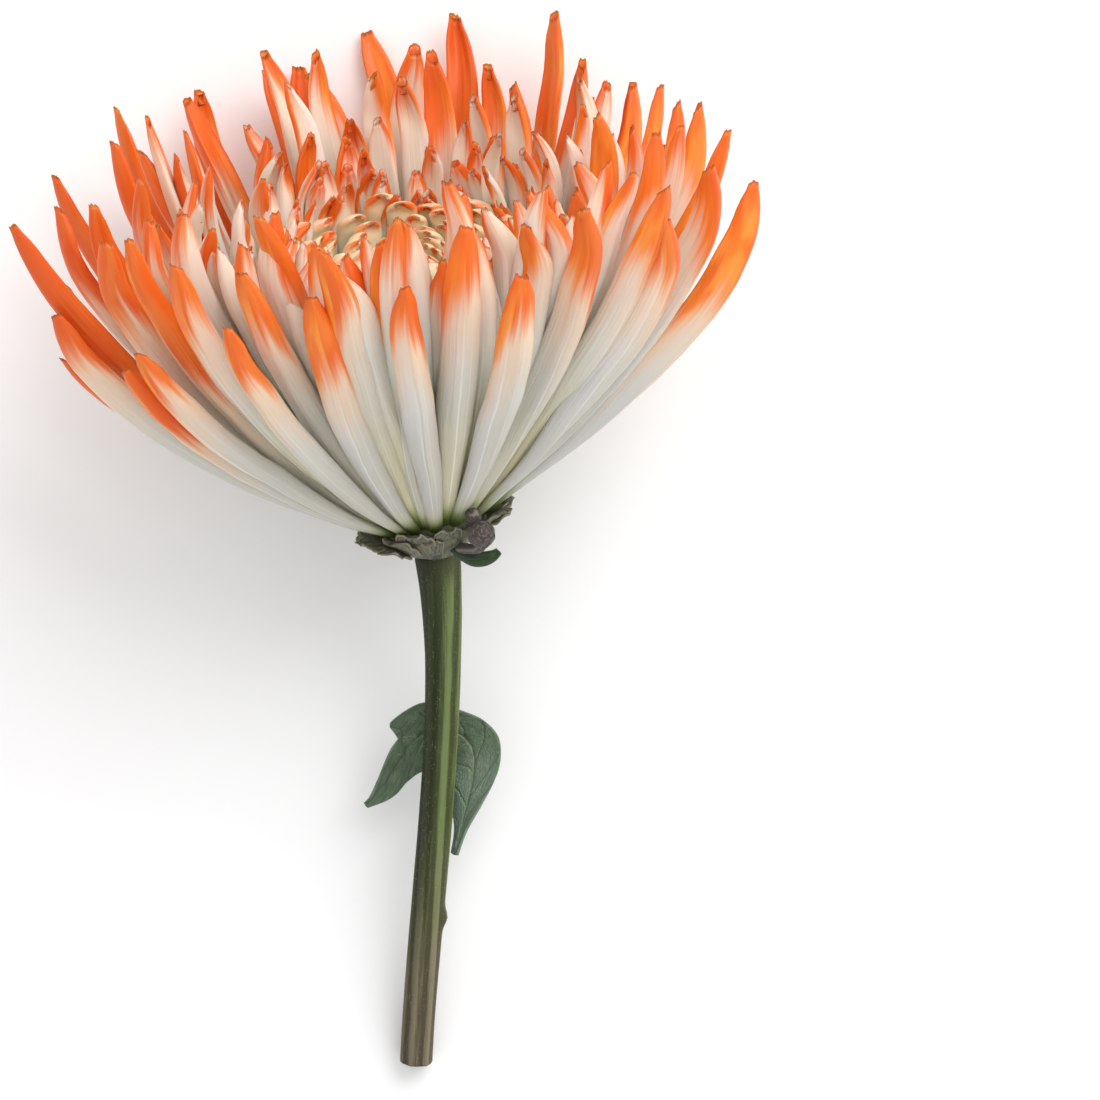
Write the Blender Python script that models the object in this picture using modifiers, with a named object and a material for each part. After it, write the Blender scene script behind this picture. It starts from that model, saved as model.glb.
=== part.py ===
"""Spider chrysanthemum: one cut bloom on its stem, lying on a table.

The flower lies with its stem towards -Y and its bloom towards +Y, and looks up a little. It rests on the
end of its stem and on the tips of its lowest florets. Each floret is a closed tube swept along a cubic
curve whose four points follow from its place in the spiral of the head.
"""

import collections
import math
import random

import bmesh
import bpy
from mathutils import Matrix, Vector

MM = 0.001

# Lie of the flower. BOX_CENTRE is where the middle of its outline lies from the middle of its calyx
BOX_CENTRE = Vector((-0.00799, 0.00144, 0.0))
CALYX_HEIGHT = 27.2 * MM
AXIS_RISE = math.radians(22.0)
HEAD_LEAN = math.radians(5.6)
HEAD_SKEW = (0.12, -0.12)
SKEW_FROM = (3.7 * MM, 5.6 * MM)
FLOOR_CLEAR = (3.0 * MM, 1.5 * MM, 0.45 * MM)

# Long ray florets, from the lowest row to the ring round the heart
RAY_COUNT = 130
RAY_SEED = 14000
RAY_REACH = (63.5 * MM, 24.5 * MM)
RAY_REACH_SPREAD = (-4.5 * MM, 2.5 * MM)
RAY_HEIGHT = (60.0 * MM, 67.5 * MM, 58.5 * MM)
RAY_HEIGHT_SPREAD = (-4.5 * MM, 4.0 * MM)
RAY_ROOT_RADIUS = (5.6 * MM, 4.2 * MM)
RAY_ROOT_HEIGHT = (4.4 * MM, 6.6 * MM)
RAY_ROOT_LEAN = (64.0, 27.0)
RAY_TIP_LEAN = (17.0, -14.0)
RAY_TIP_SPREAD = 9.0
RAY_TURN_SPREAD = 3.5
RAY_SWAY = 4.0 * MM
RAY_WIDTH = (7.1 * MM, 5.7 * MM)
RAY_WIDTH_SPREAD = (0.84, 1.1)
RAY_FLATNESS = (0.42, 0.5)
RAY_SIDES = 5
RAY_STEPS_LONG = (0, 0.22, 0.48, 0.72, 0.9, 1)
RAY_STEPS_SHORT = (0, 0.3, 0.62, 0.88, 1)
TALL_SHARE = 0.12
TALL_EXTRA = 5.0 * MM

# How the lying head differs round its axis: its upper side, its left and the side on the table
FRONT_DRAW_IN = 0.36
FRONT_LOWER = 0.5 * MM
FRONT_STEEPER = 18.0
LEFT_FLATTER = 7.0
LEFT_WIDER = 1.5 * MM
BACK_HIGHER = 4.5 * MM
BACK_WIDER = 1.5 * MM

# Short incurved florets of the heart
HEART_COUNT = 56
HEART_SEED = 7300
HEART_REACH = (17.0 * MM, 0.8 * MM)
HEART_HEIGHT = 56.5 * MM
HEART_HEIGHT_SPREAD = 1.2 * MM
HEART_DIP = 5.5 * MM
HEART_ROOT_SHARE = 0.72
HEART_ROOT_HEIGHT = (30.0 * MM, 36.0 * MM)
HEART_ROOT_LEAN = (22.0, 5.0)
HEART_TIP_LEAN = (-64.0, -42.0)
HEART_TIP_SPREAD = 8.0
HEART_TURN_SPREAD = 5.0
HEART_WIDTH = (5.8 * MM, 3.8 * MM)
HEART_WIDTH_SPREAD = (0.9, 1.1)
HEART_FLATNESS = 0.6
HEART_SIDES = 4
HEART_STEPS = (0, 0.4, 0.72, 0.9, 1)

# Turned profiles about the head's axis, as (radius, height) in mm from top to bottom
RECEPTACLE = ((0, 9.4), (4.4, 9.0), (6.6, 7.8), (7.8, 6.0), (7.9, 4.5), (7.1, 3.1), (0, 1.8))
HEART_CORE_TOP = ((0, 42), (7, 41.5), (11, 39), (12.6, 34), (11, 26))
HEART_CORE_NECK = ((7.5, 17), (4.6, 11.5), (3.6, 9.8), (0, 9.8))
CUP_INSIDE = ((0, 1.4), (7.3, 2.7), (8.2, 4.0), (8.8, 4.4))
CUP_OUTSIDE = ((9.4, 4.4), (9.7, 3.4), (8.6, 1.0), (6.0, -0.7), (4.0, -1.2), (0, -1.2))
TURNED_SIDES = 20
CORE_SIDES = 16

# Bracts of the cup, from the lowest, which turn outwards, to the highest
BRACT_COUNT = 23
BRACT_SEED = 5200
BRACT_FIRST = 20.0
BRACT_ROOT_RADIUS = 8.0 * MM
BRACT_ROOT_HEIGHT = (1.4 * MM, 2.6 * MM)
BRACT_ROOT_LEAN = (60.0, 52.0)
BRACT_REACH = (13.0 * MM, 10.4 * MM)
BRACT_REACH_SPREAD = (-0.8 * MM, 1.2 * MM)
BRACT_UNDER_RAYS = (2.6 * MM, 0.9 * MM)
BRACT_HEIGHT_SPREAD = (-0.3 * MM, 0.1 * MM)
BRACT_TIP_LEAN = (118.0, 60.0)
BRACT_TIP_SPREAD = 8.0
BRACT_FRONT_UPRIGHT = 12.0
BRACT_WIDTH = 5.4 * MM
BRACT_WIDTH_SPREAD = (0.85, 1.2)
BRACT_THICK = 0.9 * MM
BRACT_CURL = 0.1
BRACT_COLUMNS = 3
BRACT_STEPS = (0, 0.5, 0.86, 1)
RAY_HALF_THICK = 1.5 * MM

# Side bud and its bract, at the front right of the cup. The crescent's points are mm from the calyx
BUD_AZIMUTH = -56.0
BUD_BAY = 19.0
BUD_PLACE = (13.8 * MM, 6.6 * MM)
BUD_RADIUS = 2.25 * MM
BUD_KNOB = (-1.3 * MM, 3.1 * MM, 1.05 * MM)
BUD_FOOT = (10.0 * MM, 0.9 * MM)
BUD_STALK = (1.9 * MM, 1.7 * MM)
BUD_STALK_LEAN = (60.0, 5.0)
CRESCENT = ((3.9, -1.2, 7.7), (5.5, -2.8, 8.2), (8.0, -2.9, 8.4), (10.3, -0.9, 8.4))
CRESCENT_WIDTH = 2.5 * MM
CRESCENT_THICK = 1.2 * MM
CRESCENT_STEPS = (0, 0.2, 0.45, 0.7, 0.9, 1)

# Stem, with its radius by the share of its length
STEM_TOP = -1.5 * MM
STEM_RUN = 87.0 * MM
STEM_DRIFT = -4.0 * MM
STEM_STRAIGHT = 0.33
STEM_RADIUS = ((0.0, 3.7 * MM), (0.07, 3.35 * MM), (0.2, 2.95 * MM), (0.4, 2.8 * MM), (1.0, 2.7 * MM))
STEM_PRESSED = 0.88
STEM_SIDES = 12
STEM_RINGS = 12
STEM_RIB = 0.035
SCAR_PLACE = 0.7
SCAR_RADIUS = 0.75 * MM
SCAR_SHAPE = (0.8, 1.6, 1.0)

# Leaf: outer edge, midrib and inner edge, each as (right of the stem's centre, below the bloom), in mm
LEAF_ROWS = (
    ((4.2, 51.6), (3.7, 51.5), (3.25, 51.2)),
    ((5.4, 47.3), (4.4, 47.3), (3.5, 47.2)),
    ((7.5, 43.0), (5.1, 43.6), (2.6, 43.4)),
    ((9.4, 39.0), (5.7, 40.0), (1.5, 40.4)),
    ((10.2, 35.5), (5.9, 36.3), (1.0, 38.2)),
    ((9.6, 31.5), (5.2, 33.2), (0.4, 37.2)),
    ((7.0, 28.8), (3.6, 31.4), (-0.3, 36.8)),
    ((3.5, 27.3), (1.4, 30.6), (-1.2, 36.9)),
    ((0.0, 26.2), (-1.0, 30.6), (-2.4, 37.2)),
    ((-4.0, 26.0), (-3.4, 31.5), (-3.7, 37.8)),
    ((-8.7, 29.3), (-5.4, 33.3), (-5.0, 38.9)),
    ((-6.6, 30.6), (-6.4, 34.8), (-5.7, 39.4)),
    ((-8.4, 33.9), (-7.8, 36.9), (-7.0, 41.2)),
    ((-9.9, 38.2), (-9.3, 39.6), (-8.6, 42.3)),
    ((-11.3, 41.8), (-10.8, 42.0), (-10.4, 43.0)),
    ((-12.2, 43.0), (-12.0, 43.4), (-11.8, 43.5)),
)
LEAF_COLUMNS = 3
LEAF_DEPTH = (0.6 * MM, 5.4 * MM)
LEAF_LEVEL_ROW = 8
LEAF_CURL = (-0.6 * MM, 1.0 * MM)
LEAF_THICK = 0.7 * MM
LEAF_GAP = 0.3 * MM

GOLDEN_ANGLE = 137.508

Floret = collections.namedtuple("Floret", "points side width thick")


def smooth(low, high, value):
    """A soft step from 0 at low to 1 at high."""
    t = min(1.0, max(0.0, (value - low) / (high - low)))
    return t * t * (3 - 2 * t)


def mix(a, b, t):
    return a + (b - a) * t


def place_of_head():
    """The head's own frame in the world: its +Z is the flower's axis and its -Y faces up from the table."""
    turn = Matrix.Rotation(HEAD_LEAN, 4, "Z") @ Matrix.Rotation(AXIS_RISE - math.pi / 2, 4, "X")
    return Matrix.Translation(Vector((0, 0, CALYX_HEIGHT)) - BOX_CENTRE) @ turn


HEAD = place_of_head()


def radial(azimuth, radius, height):
    """A point of the head, in the world."""
    return HEAD @ Vector((radius * math.cos(azimuth), radius * math.sin(azimuth), height))


def floret_along(azimuth, root, tip, leans, sway, width, thick):
    """A floret in the plane of its azimuth.

    root and tip are (radius, height), leans are degrees off the axis at the root and the tip, and sway is how
    far the tip stands beside that plane. What would reach under the table is lifted onto it.
    """
    third = math.dist(root, tip) / 3
    lean_a, lean_b = [math.radians(lean) for lean in leans]
    flat = (
        root,
        (root[0] + third * math.sin(lean_a), root[1] + third * math.cos(lean_a)),
        (tip[0] - third * math.sin(lean_b), tip[1] - third * math.cos(lean_b)),
        tip,
    )
    across = HEAD.to_3x3() @ Vector((-math.sin(azimuth), math.cos(azimuth), 0))
    points = [radial(azimuth, r, h) for r, h in flat]
    points[2] += across * sway * 0.5
    points[3] += across * sway
    for point, clear in zip(points[1:], FLOOR_CLEAR):
        point.z = max(point.z, clear)
    return Floret(points, across, width, thick)


def turn_between(a, b):
    """Degrees between two directions round the axis."""
    return abs((a - b + 180) % 360 - 180)


def skewed(azimuth, radius, height):
    """Height of a point of the head's base, which is skewed outside the stem, up at its right and front."""
    along, over = HEAD_SKEW
    slope = smooth(*SKEW_FROM, radius) * (along * math.cos(azimuth) + over * math.sin(azimuth))
    return height + radius * slope


def upper_side(azimuth):
    """1 at the upper side of the lying flower, falling to 0 at its left and right."""
    return max(0.0, -math.sin(azimuth)) ** 1.5


def leaning(azimuth, age):
    """Degrees off the axis at a floret's root, least on the upper side and most at the left."""
    change = -LEFT_FLATTER * math.cos(azimuth) - FRONT_STEEPER * upper_side(azimuth)
    return mix(*RAY_ROOT_LEAN, age**0.85) + change * (1 - age)


def ray_floret(index):
    """Long floret number index of the spiral: 0 is the lowest and widest spread."""
    draw = random.Random(RAY_SEED + index)
    age = index / (RAY_COUNT - 1)
    azimuth = math.radians(index * GOLDEN_ANGLE + draw.uniform(-RAY_TURN_SPREAD, RAY_TURN_SPREAD))
    loose = 1 - 0.6 * smooth(0.6, 1.0, age)
    front = upper_side(azimuth)
    reach = mix(*RAY_REACH, age**0.92) * (1 - FRONT_DRAW_IN * front * (1 - age))
    reach += loose * draw.uniform(*RAY_REACH_SPREAD)
    reach += (BACK_WIDER * math.sin(azimuth) - LEFT_WIDER * math.cos(azimuth)) * (1 - age)
    low, high, inner = RAY_HEIGHT
    height = mix(mix(low, high, smooth(0, 0.3, age)), inner, smooth(0.5, 1.0, age))
    height += loose * draw.uniform(*RAY_HEIGHT_SPREAD) + TALL_EXTRA * (draw.random() > 1 - TALL_SHARE)
    height += BACK_HIGHER * max(0.0, math.sin(azimuth)) - FRONT_LOWER * front
    root_radius = mix(*RAY_ROOT_RADIUS, age)
    root = (root_radius, skewed(azimuth, root_radius, mix(*RAY_ROOT_HEIGHT, age)))
    tip_lean = mix(*RAY_TIP_LEAN, smooth(0.1, 1.0, age)) + draw.uniform(-RAY_TIP_SPREAD, RAY_TIP_SPREAD)
    sway = loose * draw.uniform(-RAY_SWAY, RAY_SWAY)
    width = mix(*RAY_WIDTH, age) * draw.uniform(*RAY_WIDTH_SPREAD)
    thick = width * draw.uniform(*RAY_FLATNESS)
    return floret_along(azimuth, root, (reach, height), (leaning(azimuth, age), tip_lean), sway, width, thick)


def heart_floret(index):
    """Short floret number index of the heart: 0 is the outermost, and all of them curl towards the axis."""
    draw = random.Random(HEART_SEED + index)
    age = index / (HEART_COUNT - 1)
    azimuth = math.radians(index * GOLDEN_ANGLE + draw.uniform(-HEART_TURN_SPREAD, HEART_TURN_SPREAD))
    outer, inner = HEART_REACH
    reach = outer * math.sqrt(1 - age) + inner
    height = HEART_HEIGHT - HEART_DIP * age**1.5 + draw.uniform(-HEART_HEIGHT_SPREAD, HEART_HEIGHT_SPREAD)
    root = (HEART_ROOT_SHARE * reach, mix(*HEART_ROOT_HEIGHT, age))
    width = mix(*HEART_WIDTH, age) * draw.uniform(*HEART_WIDTH_SPREAD)
    tip_lean = mix(*HEART_TIP_LEAN, age) + draw.uniform(-HEART_TIP_SPREAD, HEART_TIP_SPREAD)
    leans = (mix(*HEART_ROOT_LEAN, age), tip_lean)
    return floret_along(azimuth, root, (reach, height), leans, 0.0, width, HEART_FLATNESS * width)


def bezier(points, t):
    a, b, c, d = points
    s = 1 - t
    return a * s**3 + b * (3 * s * s * t) + c * (3 * s * t * t) + d * t**3


def bezier_heading(points, t):
    a, b, c, d = points
    s = 1 - t
    return ((b - a) * (s * s) + (c - b) * (2 * s * t) + (d - c) * (t * t)).normalized()


def ray_outline(t):
    """Share of a ray floret's width at t along it: a narrow claw, a broad blade and a drawn-in tip."""
    return mix(0.45, 1.0, smooth(0.0, 0.55, t)) * mix(1.0, 0.46, smooth(0.78, 1.0, t))


def heart_outline(t):
    return mix(0.6, 1.0, smooth(0.0, 0.5, t)) * mix(1.0, 0.55, smooth(0.75, 1.0, t))


def section(floret, t, outline, sides):
    """One ring of a floret: a flat oval across its path."""
    centre = bezier(floret.points, t)
    heading = bezier_heading(floret.points, t)
    over = heading.cross(floret.side).normalized()
    across = over.cross(heading)
    share = outline(t)
    flat = mix(1.25, 1.0, smooth(0.0, 0.4, t))
    ring = []
    for k in range(sides):
        turn = 2 * math.pi * (k + 0.5) / sides
        ring.append(
            centre
            + across * (0.5 * floret.width * share * math.cos(turn))
            + over * (0.5 * floret.thick * share * flat * math.sin(turn))
        )
    return ring


def new_object(name, bm, collection):
    bmesh.ops.recalc_face_normals(bm, faces=bm.faces)
    mesh = bpy.data.meshes.new(name)
    bm.to_mesh(mesh)
    bm.free()
    made = bpy.data.objects.new(name, mesh)
    collection.objects.link(made)
    return made


def loft(name, rings, collection):
    """A closed tube through rings of equal length, with flat ends."""
    bm = bmesh.new()
    loops = [[bm.verts.new(point) for point in ring] for ring in rings]
    for low, high in zip(loops, loops[1:]):
        for k in range(len(low)):
            after = (k + 1) % len(low)
            bm.faces.new((low[k], low[after], high[after], high[k]))
    bm.faces.new(loops[0])
    bm.faces.new(loops[-1])
    return new_object(name, bm, collection)


def floret_object(floret, steps, outline, sides, collection):
    return loft("floret", [section(floret, t, outline, sides) for t in steps], collection)


def turned(name, profile, sides, collection):
    """A shape turned about the head's axis and skewed with it. profile runs from its top to its bottom."""
    bm = bmesh.new()
    points = [bm.verts.new((r * MM, 0, z * MM)) for r, z in profile]
    for a, b in zip(points, points[1:]):
        bm.edges.new((a, b))
    geometry = bm.verts[:] + bm.edges[:]
    bmesh.ops.spin(bm, geom=geometry, cent=(0, 0, 0), axis=(0, 0, 1), angle=2 * math.pi, steps=sides)
    bmesh.ops.remove_doubles(bm, verts=bm.verts, dist=0.01 * MM)
    for vert in bm.verts:
        x, y, z = vert.co
        vert.co = HEAD @ Vector((x, y, skewed(math.atan2(y, x), math.hypot(x, y), z)))
    return new_object(name, bm, collection)


def material(name, colour, roughness):
    made = bpy.data.materials.new(name)
    made.use_nodes = True
    shader = made.node_tree.nodes["Principled BSDF"]
    shader.inputs["Base Color"].default_value = (*colour, 1)
    shader.inputs["Roughness"].default_value = roughness
    shader.inputs["Metallic"].default_value = 0
    return made


def outer_skin(mesh):
    """Keeps the largest connected surface, so that no closed hollow is left between the pieces."""
    bm = bmesh.new()
    bm.from_mesh(mesh)
    left = set(bm.verts)
    largest = set()
    while left:
        found, edge = set(), {left.pop()}
        while edge:
            found |= edge
            edge = {e.other_vert(v) for v in edge for e in v.link_edges} - found
        left -= found
        if len(found) > len(largest):
            largest = found
    bmesh.ops.delete(bm, geom=[v for v in bm.verts if v not in largest], context="VERTS")
    bm.to_mesh(mesh)
    bm.free()


def fuse(body, pieces):
    """Joins a collection of pieces to body in one union, and removes them."""
    joined = body.modifiers.new("join", "BOOLEAN")
    joined.operation = "UNION"
    joined.operand_type = "COLLECTION"
    joined.collection = pieces
    joined.solver = "MANIFOLD"
    graph = bpy.context.evaluated_depsgraph_get()
    mesh = bpy.data.meshes.new_from_object(body.evaluated_get(graph))
    body.modifiers.clear()
    outer_skin(mesh)
    body.data = mesh
    for piece in list(pieces.objects):
        bpy.data.objects.remove(piece)
    bpy.data.collections.remove(pieces)


def press_flat(body):
    """Cuts off what would reach under the table, which leaves the flat spots that the flower rests on."""
    bm = bmesh.new()
    bm.from_mesh(body.data)
    geometry = bm.verts[:] + bm.edges[:] + bm.faces[:]
    table = {"plane_co": (0, 0, 0), "plane_no": (0, 0, -1)}
    cut = bmesh.ops.bisect_plane(bm, geom=geometry, clear_outer=True, **table)
    rim = [e for e in cut["geom_cut"] if isinstance(e, bmesh.types.BMEdge)]
    bmesh.ops.holes_fill(bm, edges=rim)
    bmesh.ops.triangulate(bm, faces=bm.faces)
    bm.to_mesh(body.data)
    bm.free()


def pieces_collection():
    made = bpy.data.collections.new("pieces")
    bpy.context.scene.collection.children.link(made)
    return made


def finish(made, surface):
    made.data.materials.clear()
    made.data.materials.append(surface)
    made.data.shade_smooth()
    made.data.set_sharp_from_angle(angle=math.radians(50))


def build_rays(flower, surface):
    """The receptacle with the long florets rooted in it."""
    rays = turned("ray_florets", RECEPTACLE, TURNED_SIDES, flower)
    pieces = pieces_collection()
    for index in range(RAY_COUNT):
        steps = RAY_STEPS_LONG if index < RAY_COUNT // 2 else RAY_STEPS_SHORT
        floret_object(ray_floret(index), steps, ray_outline, RAY_SIDES, pieces)
    fuse(rays, pieces)
    press_flat(rays)
    finish(rays, surface)


def build_heart(flower, surface):
    """The close middle of the bloom: a core, and the florets that stand out of it."""
    heart = turned("heart_florets", HEART_CORE_TOP + HEART_CORE_NECK, CORE_SIDES, flower)
    pieces = pieces_collection()
    for index in range(HEART_COUNT):
        floret_object(heart_floret(index), HEART_STEPS, heart_outline, HEART_SIDES, pieces)
    fuse(heart, pieces)
    finish(heart, surface)


def underside(azimuth, radius):
    """Height of the undersides of the lowest florets, near their roots."""
    root_radius = RAY_ROOT_RADIUS[0]
    rise = (radius - root_radius) / math.tan(math.radians(leaning(azimuth, 0)))
    return skewed(azimuth, root_radius, RAY_ROOT_HEIGHT[0]) + rise - RAY_HALF_THICK


def bract(index):
    """Bract number index: 0 is the lowest. There is none where the side bud stands."""
    draw = random.Random(BRACT_SEED + index)
    age = index / (BRACT_COUNT - 1)
    degrees = BRACT_FIRST + index * GOLDEN_ANGLE
    if turn_between(degrees, BUD_AZIMUTH) < BUD_BAY:
        return None
    azimuth = math.radians(degrees)
    front = max(0.0, -math.sin(azimuth))
    reach = mix(*BRACT_REACH, front) + draw.uniform(*BRACT_REACH_SPREAD)
    height = underside(azimuth, reach) - mix(*BRACT_UNDER_RAYS, age) + draw.uniform(*BRACT_HEIGHT_SPREAD)
    root = (BRACT_ROOT_RADIUS, skewed(azimuth, BRACT_ROOT_RADIUS, mix(*BRACT_ROOT_HEIGHT, age)))
    width = BRACT_WIDTH * draw.uniform(*BRACT_WIDTH_SPREAD)
    tip_lean = mix(*BRACT_TIP_LEAN, age) - BRACT_FRONT_UPRIGHT * front
    tip_lean += draw.uniform(-BRACT_TIP_SPREAD, BRACT_TIP_SPREAD)
    leans = (mix(*BRACT_ROOT_LEAN, age), tip_lean)
    return floret_along(azimuth, root, (reach, height), leans, 0.0, width, BRACT_THICK)


def bract_outline(t):
    return mix(0.75, 1.0, smooth(0.0, 0.6, t)) * mix(1.0, 0.5, smooth(0.8, 1.0, t))


def bract_section(blade, t):
    """One ring of a bract: a thin strip with both edges bent up."""
    heading = bezier_heading(blade.points, t)
    over = heading.cross(blade.side).normalized()
    across = over.cross(heading)
    half = 0.5 * blade.width * bract_outline(t)
    ring = []
    for face in (1, -1):
        for k in range(BRACT_COLUMNS):
            u = face * mix(-1, 1, k / (BRACT_COLUMNS - 1))
            lift = BRACT_CURL * half * u * u - 0.5 * face * blade.thick * mix(1.0, 0.6, abs(u))
            ring.append(bezier(blade.points, t) + across * (half * u) - over * lift)
    return ring


def build_involucre(flower, surface):
    """The green cup that holds the florets, with its rows of bracts."""
    involucre = turned("involucre", CUP_INSIDE + CUP_OUTSIDE, TURNED_SIDES, flower)
    pieces = pieces_collection()
    for blade in filter(None, map(bract, range(BRACT_COUNT))):
        loft("bract", [bract_section(blade, t) for t in BRACT_STEPS], pieces)
    fuse(involucre, pieces)
    finish(involucre, surface)


def stem_points():
    """The four points of the stem's path, from under the bloom to the cut end that lies on the table."""
    top = HEAD @ Vector((0, 0, STEM_TOP))
    down = HEAD.to_3x3() @ Vector((0, 0, -1))
    end = Vector((STEM_DRIFT, -STEM_RUN, STEM_PRESSED * STEM_RADIUS[-1][1])) - BOX_CENTRE
    return [top, top + down * STEM_STRAIGHT * STEM_RUN, mix(end, top, 0.3), end]


def stem_radius(t):
    for (a, low), (b, high) in zip(STEM_RADIUS, STEM_RADIUS[1:]):
        if t <= b:
            return mix(low, high, (t - a) / (b - a))
    return STEM_RADIUS[-1][1]


def stem_ring(points, t):
    """A ring of the stem, with low ribs."""
    heading = bezier_heading(points, t)
    across = heading.cross(Vector((0, 0, 1))).normalized()
    over = across.cross(heading)
    ring = []
    for k in range(STEM_SIDES):
        turn = 2 * math.pi * k / STEM_SIDES
        radius = stem_radius(t) * (1 + STEM_RIB * (-1) ** k)
        ring.append(bezier(points, t) + (across * math.cos(turn) + over * math.sin(turn)) * radius)
    return ring


def ball(name, centre, radius, sides, collection):
    bm = bmesh.new()
    bmesh.ops.create_uvsphere(bm, u_segments=sides, v_segments=sides // 2 + 1, radius=radius)
    made = new_object(name, bm, collection)
    made.location = centre
    return made


def build_stem(flower, surface):
    """The stem, with the scar of a fallen leaf at its right and its cut end flat on the table."""
    points = stem_points()
    shares = [k / (STEM_RINGS - 1) for k in range(STEM_RINGS)]
    stem = loft("stem", [stem_ring(points, mix(t, t**0.7, 0.4)) for t in shares], flower)
    pieces = pieces_collection()
    beside = Vector((stem_radius(SCAR_PLACE), 0, 0))
    scar = ball("scar", bezier(points, SCAR_PLACE) + beside, SCAR_RADIUS, 8, pieces)
    scar.scale = SCAR_SHAPE
    fuse(stem, pieces)
    press_flat(stem)
    finish(stem, surface)


def build_bud(flower, surface):
    """The side bud: a round head with a smaller one beside it, on a short stalk from the cup."""
    azimuth = math.radians(BUD_AZIMUTH)
    radius, height = BUD_PLACE
    centre = radial(azimuth, radius, height)
    bud = ball("side_bud", centre, BUD_RADIUS, 14, flower)
    pieces = pieces_collection()
    right, up, knob_radius = BUD_KNOB
    ball("knob", centre + Vector((right, up, 0)), knob_radius, 8, pieces)
    foot_radius, foot_height = BUD_FOOT
    foot = (foot_radius, skewed(azimuth, foot_radius, foot_height))
    inside_bud = (radius, height - 0.5 * BUD_RADIUS)
    stalk = floret_along(azimuth, foot, inside_bud, BUD_STALK_LEAN, 0.0, *BUD_STALK)
    floret_object(stalk, (0, 0.5, 1), lambda t: 1.0, 8, pieces)
    fuse(bud, pieces)
    finish(bud, surface)


def crescent_outline(t):
    return mix(0.5, 1.0, smooth(0.0, 0.5, t)) * mix(1.0, 0.5, smooth(0.6, 1.0, t))


def build_bud_bract(flower, surface):
    """The dark green crescent under the bud."""
    points = [HEAD.translation + Vector(point) * MM for point in CRESCENT]
    crescent = Floret(points, Vector((0, 1, 0)), CRESCENT_WIDTH, CRESCENT_THICK)
    blade = floret_object(crescent, CRESCENT_STEPS, crescent_outline, 8, flower)
    blade.name = "bud_bract"
    finish(blade, surface)


def stem_place(points, below):
    """The share of the stem's path that lies this far below the bloom, seen from above."""
    low, high = 0.0, 1.0
    while high - low > 1e-6:
        middle = 0.5 * (low + high)
        if bezier(points, middle).y + BOX_CENTRE.y > -below:
            low = middle
        else:
            high = middle
    return low


def leaf_point(points, right, below, depth):
    """A point of the leaf, pushed clear of the stem that it passes behind."""
    t = stem_place(points, below)
    clear = stem_radius(t) * (1 + STEM_RIB) + LEAF_GAP + LEAF_THICK
    if abs(right) < clear:
        depth = max(depth, math.sqrt(clear**2 - right**2))
    return bezier(points, t) + Vector((right, 0, -depth))


def build_leaf(flower, surface):
    """The lobed leaf. It grows at the stem's right, arches behind it and hangs down at its left."""
    points = stem_points()
    bm = bmesh.new()
    lines = []
    for number, row in enumerate(LEAF_ROWS):
        outer, middle, inner = [Vector(place) * MM for place in row]
        depth = mix(*LEAF_DEPTH, smooth(0, LEAF_LEVEL_ROW, number))
        line = []
        for k in range(-LEAF_COLUMNS, LEAF_COLUMNS + 1):
            share = abs(k) / LEAF_COLUMNS
            right, below = middle.lerp(outer if k < 0 else inner, share)
            curl = LEAF_CURL[0] if k < 0 else LEAF_CURL[1]
            line.append(bm.verts.new(leaf_point(points, right, below, depth + curl * share**2)))
        lines.append(line)
    for low, high in zip(lines, lines[1:]):
        for k in range(2 * LEAF_COLUMNS):
            bm.faces.new((low[k], low[k + 1], high[k + 1], high[k]))
    bmesh.ops.triangulate(bm, faces=bm.faces)
    leaf = new_object("leaf", bm, flower)
    thicken = leaf.modifiers.new("thicken", "SOLIDIFY")
    thicken.thickness = LEAF_THICK
    thicken.offset = 0
    finish(leaf, surface)


def main():
    for old in list(bpy.data.objects):
        bpy.data.objects.remove(old)
    flower = bpy.data.collections.new("spider_chrysanthemum")
    bpy.context.scene.collection.children.link(flower)
    build_rays(flower, material("petal_white", (0.86, 0.82, 0.74), 0.5))
    build_heart(flower, material("petal_cream", (0.82, 0.72, 0.42), 0.5))
    build_involucre(flower, material("bract_green", (0.09, 0.10, 0.05), 0.6))
    build_stem(flower, material("stem_green", (0.10, 0.14, 0.05), 0.55))
    build_leaf(flower, material("leaf_green", (0.05, 0.10, 0.05), 0.5))
    build_bud(flower, material("bud_brown", (0.10, 0.08, 0.07), 0.6))
    build_bud_bract(flower, material("bud_bract_green", (0.02, 0.08, 0.01), 0.45))


main()
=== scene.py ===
"""Looks of the spider chrysanthemum: one cut bloom on its stem, lying on a pale table.

Every floret, bract and bud scale is a blade: a closed tube along a cubic curve. The same rules as in the
solids give each blade its four points, one tree of nodes grows the blades from them, and the materials read
where on its blade a point lies.
"""

import collections
import random
from math import atan2, cos, dist, exp, hypot, pi, radians, sin, sqrt, tan

import bmesh
import bpy
import numpy as np
from mathutils import Matrix, Vector


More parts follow.
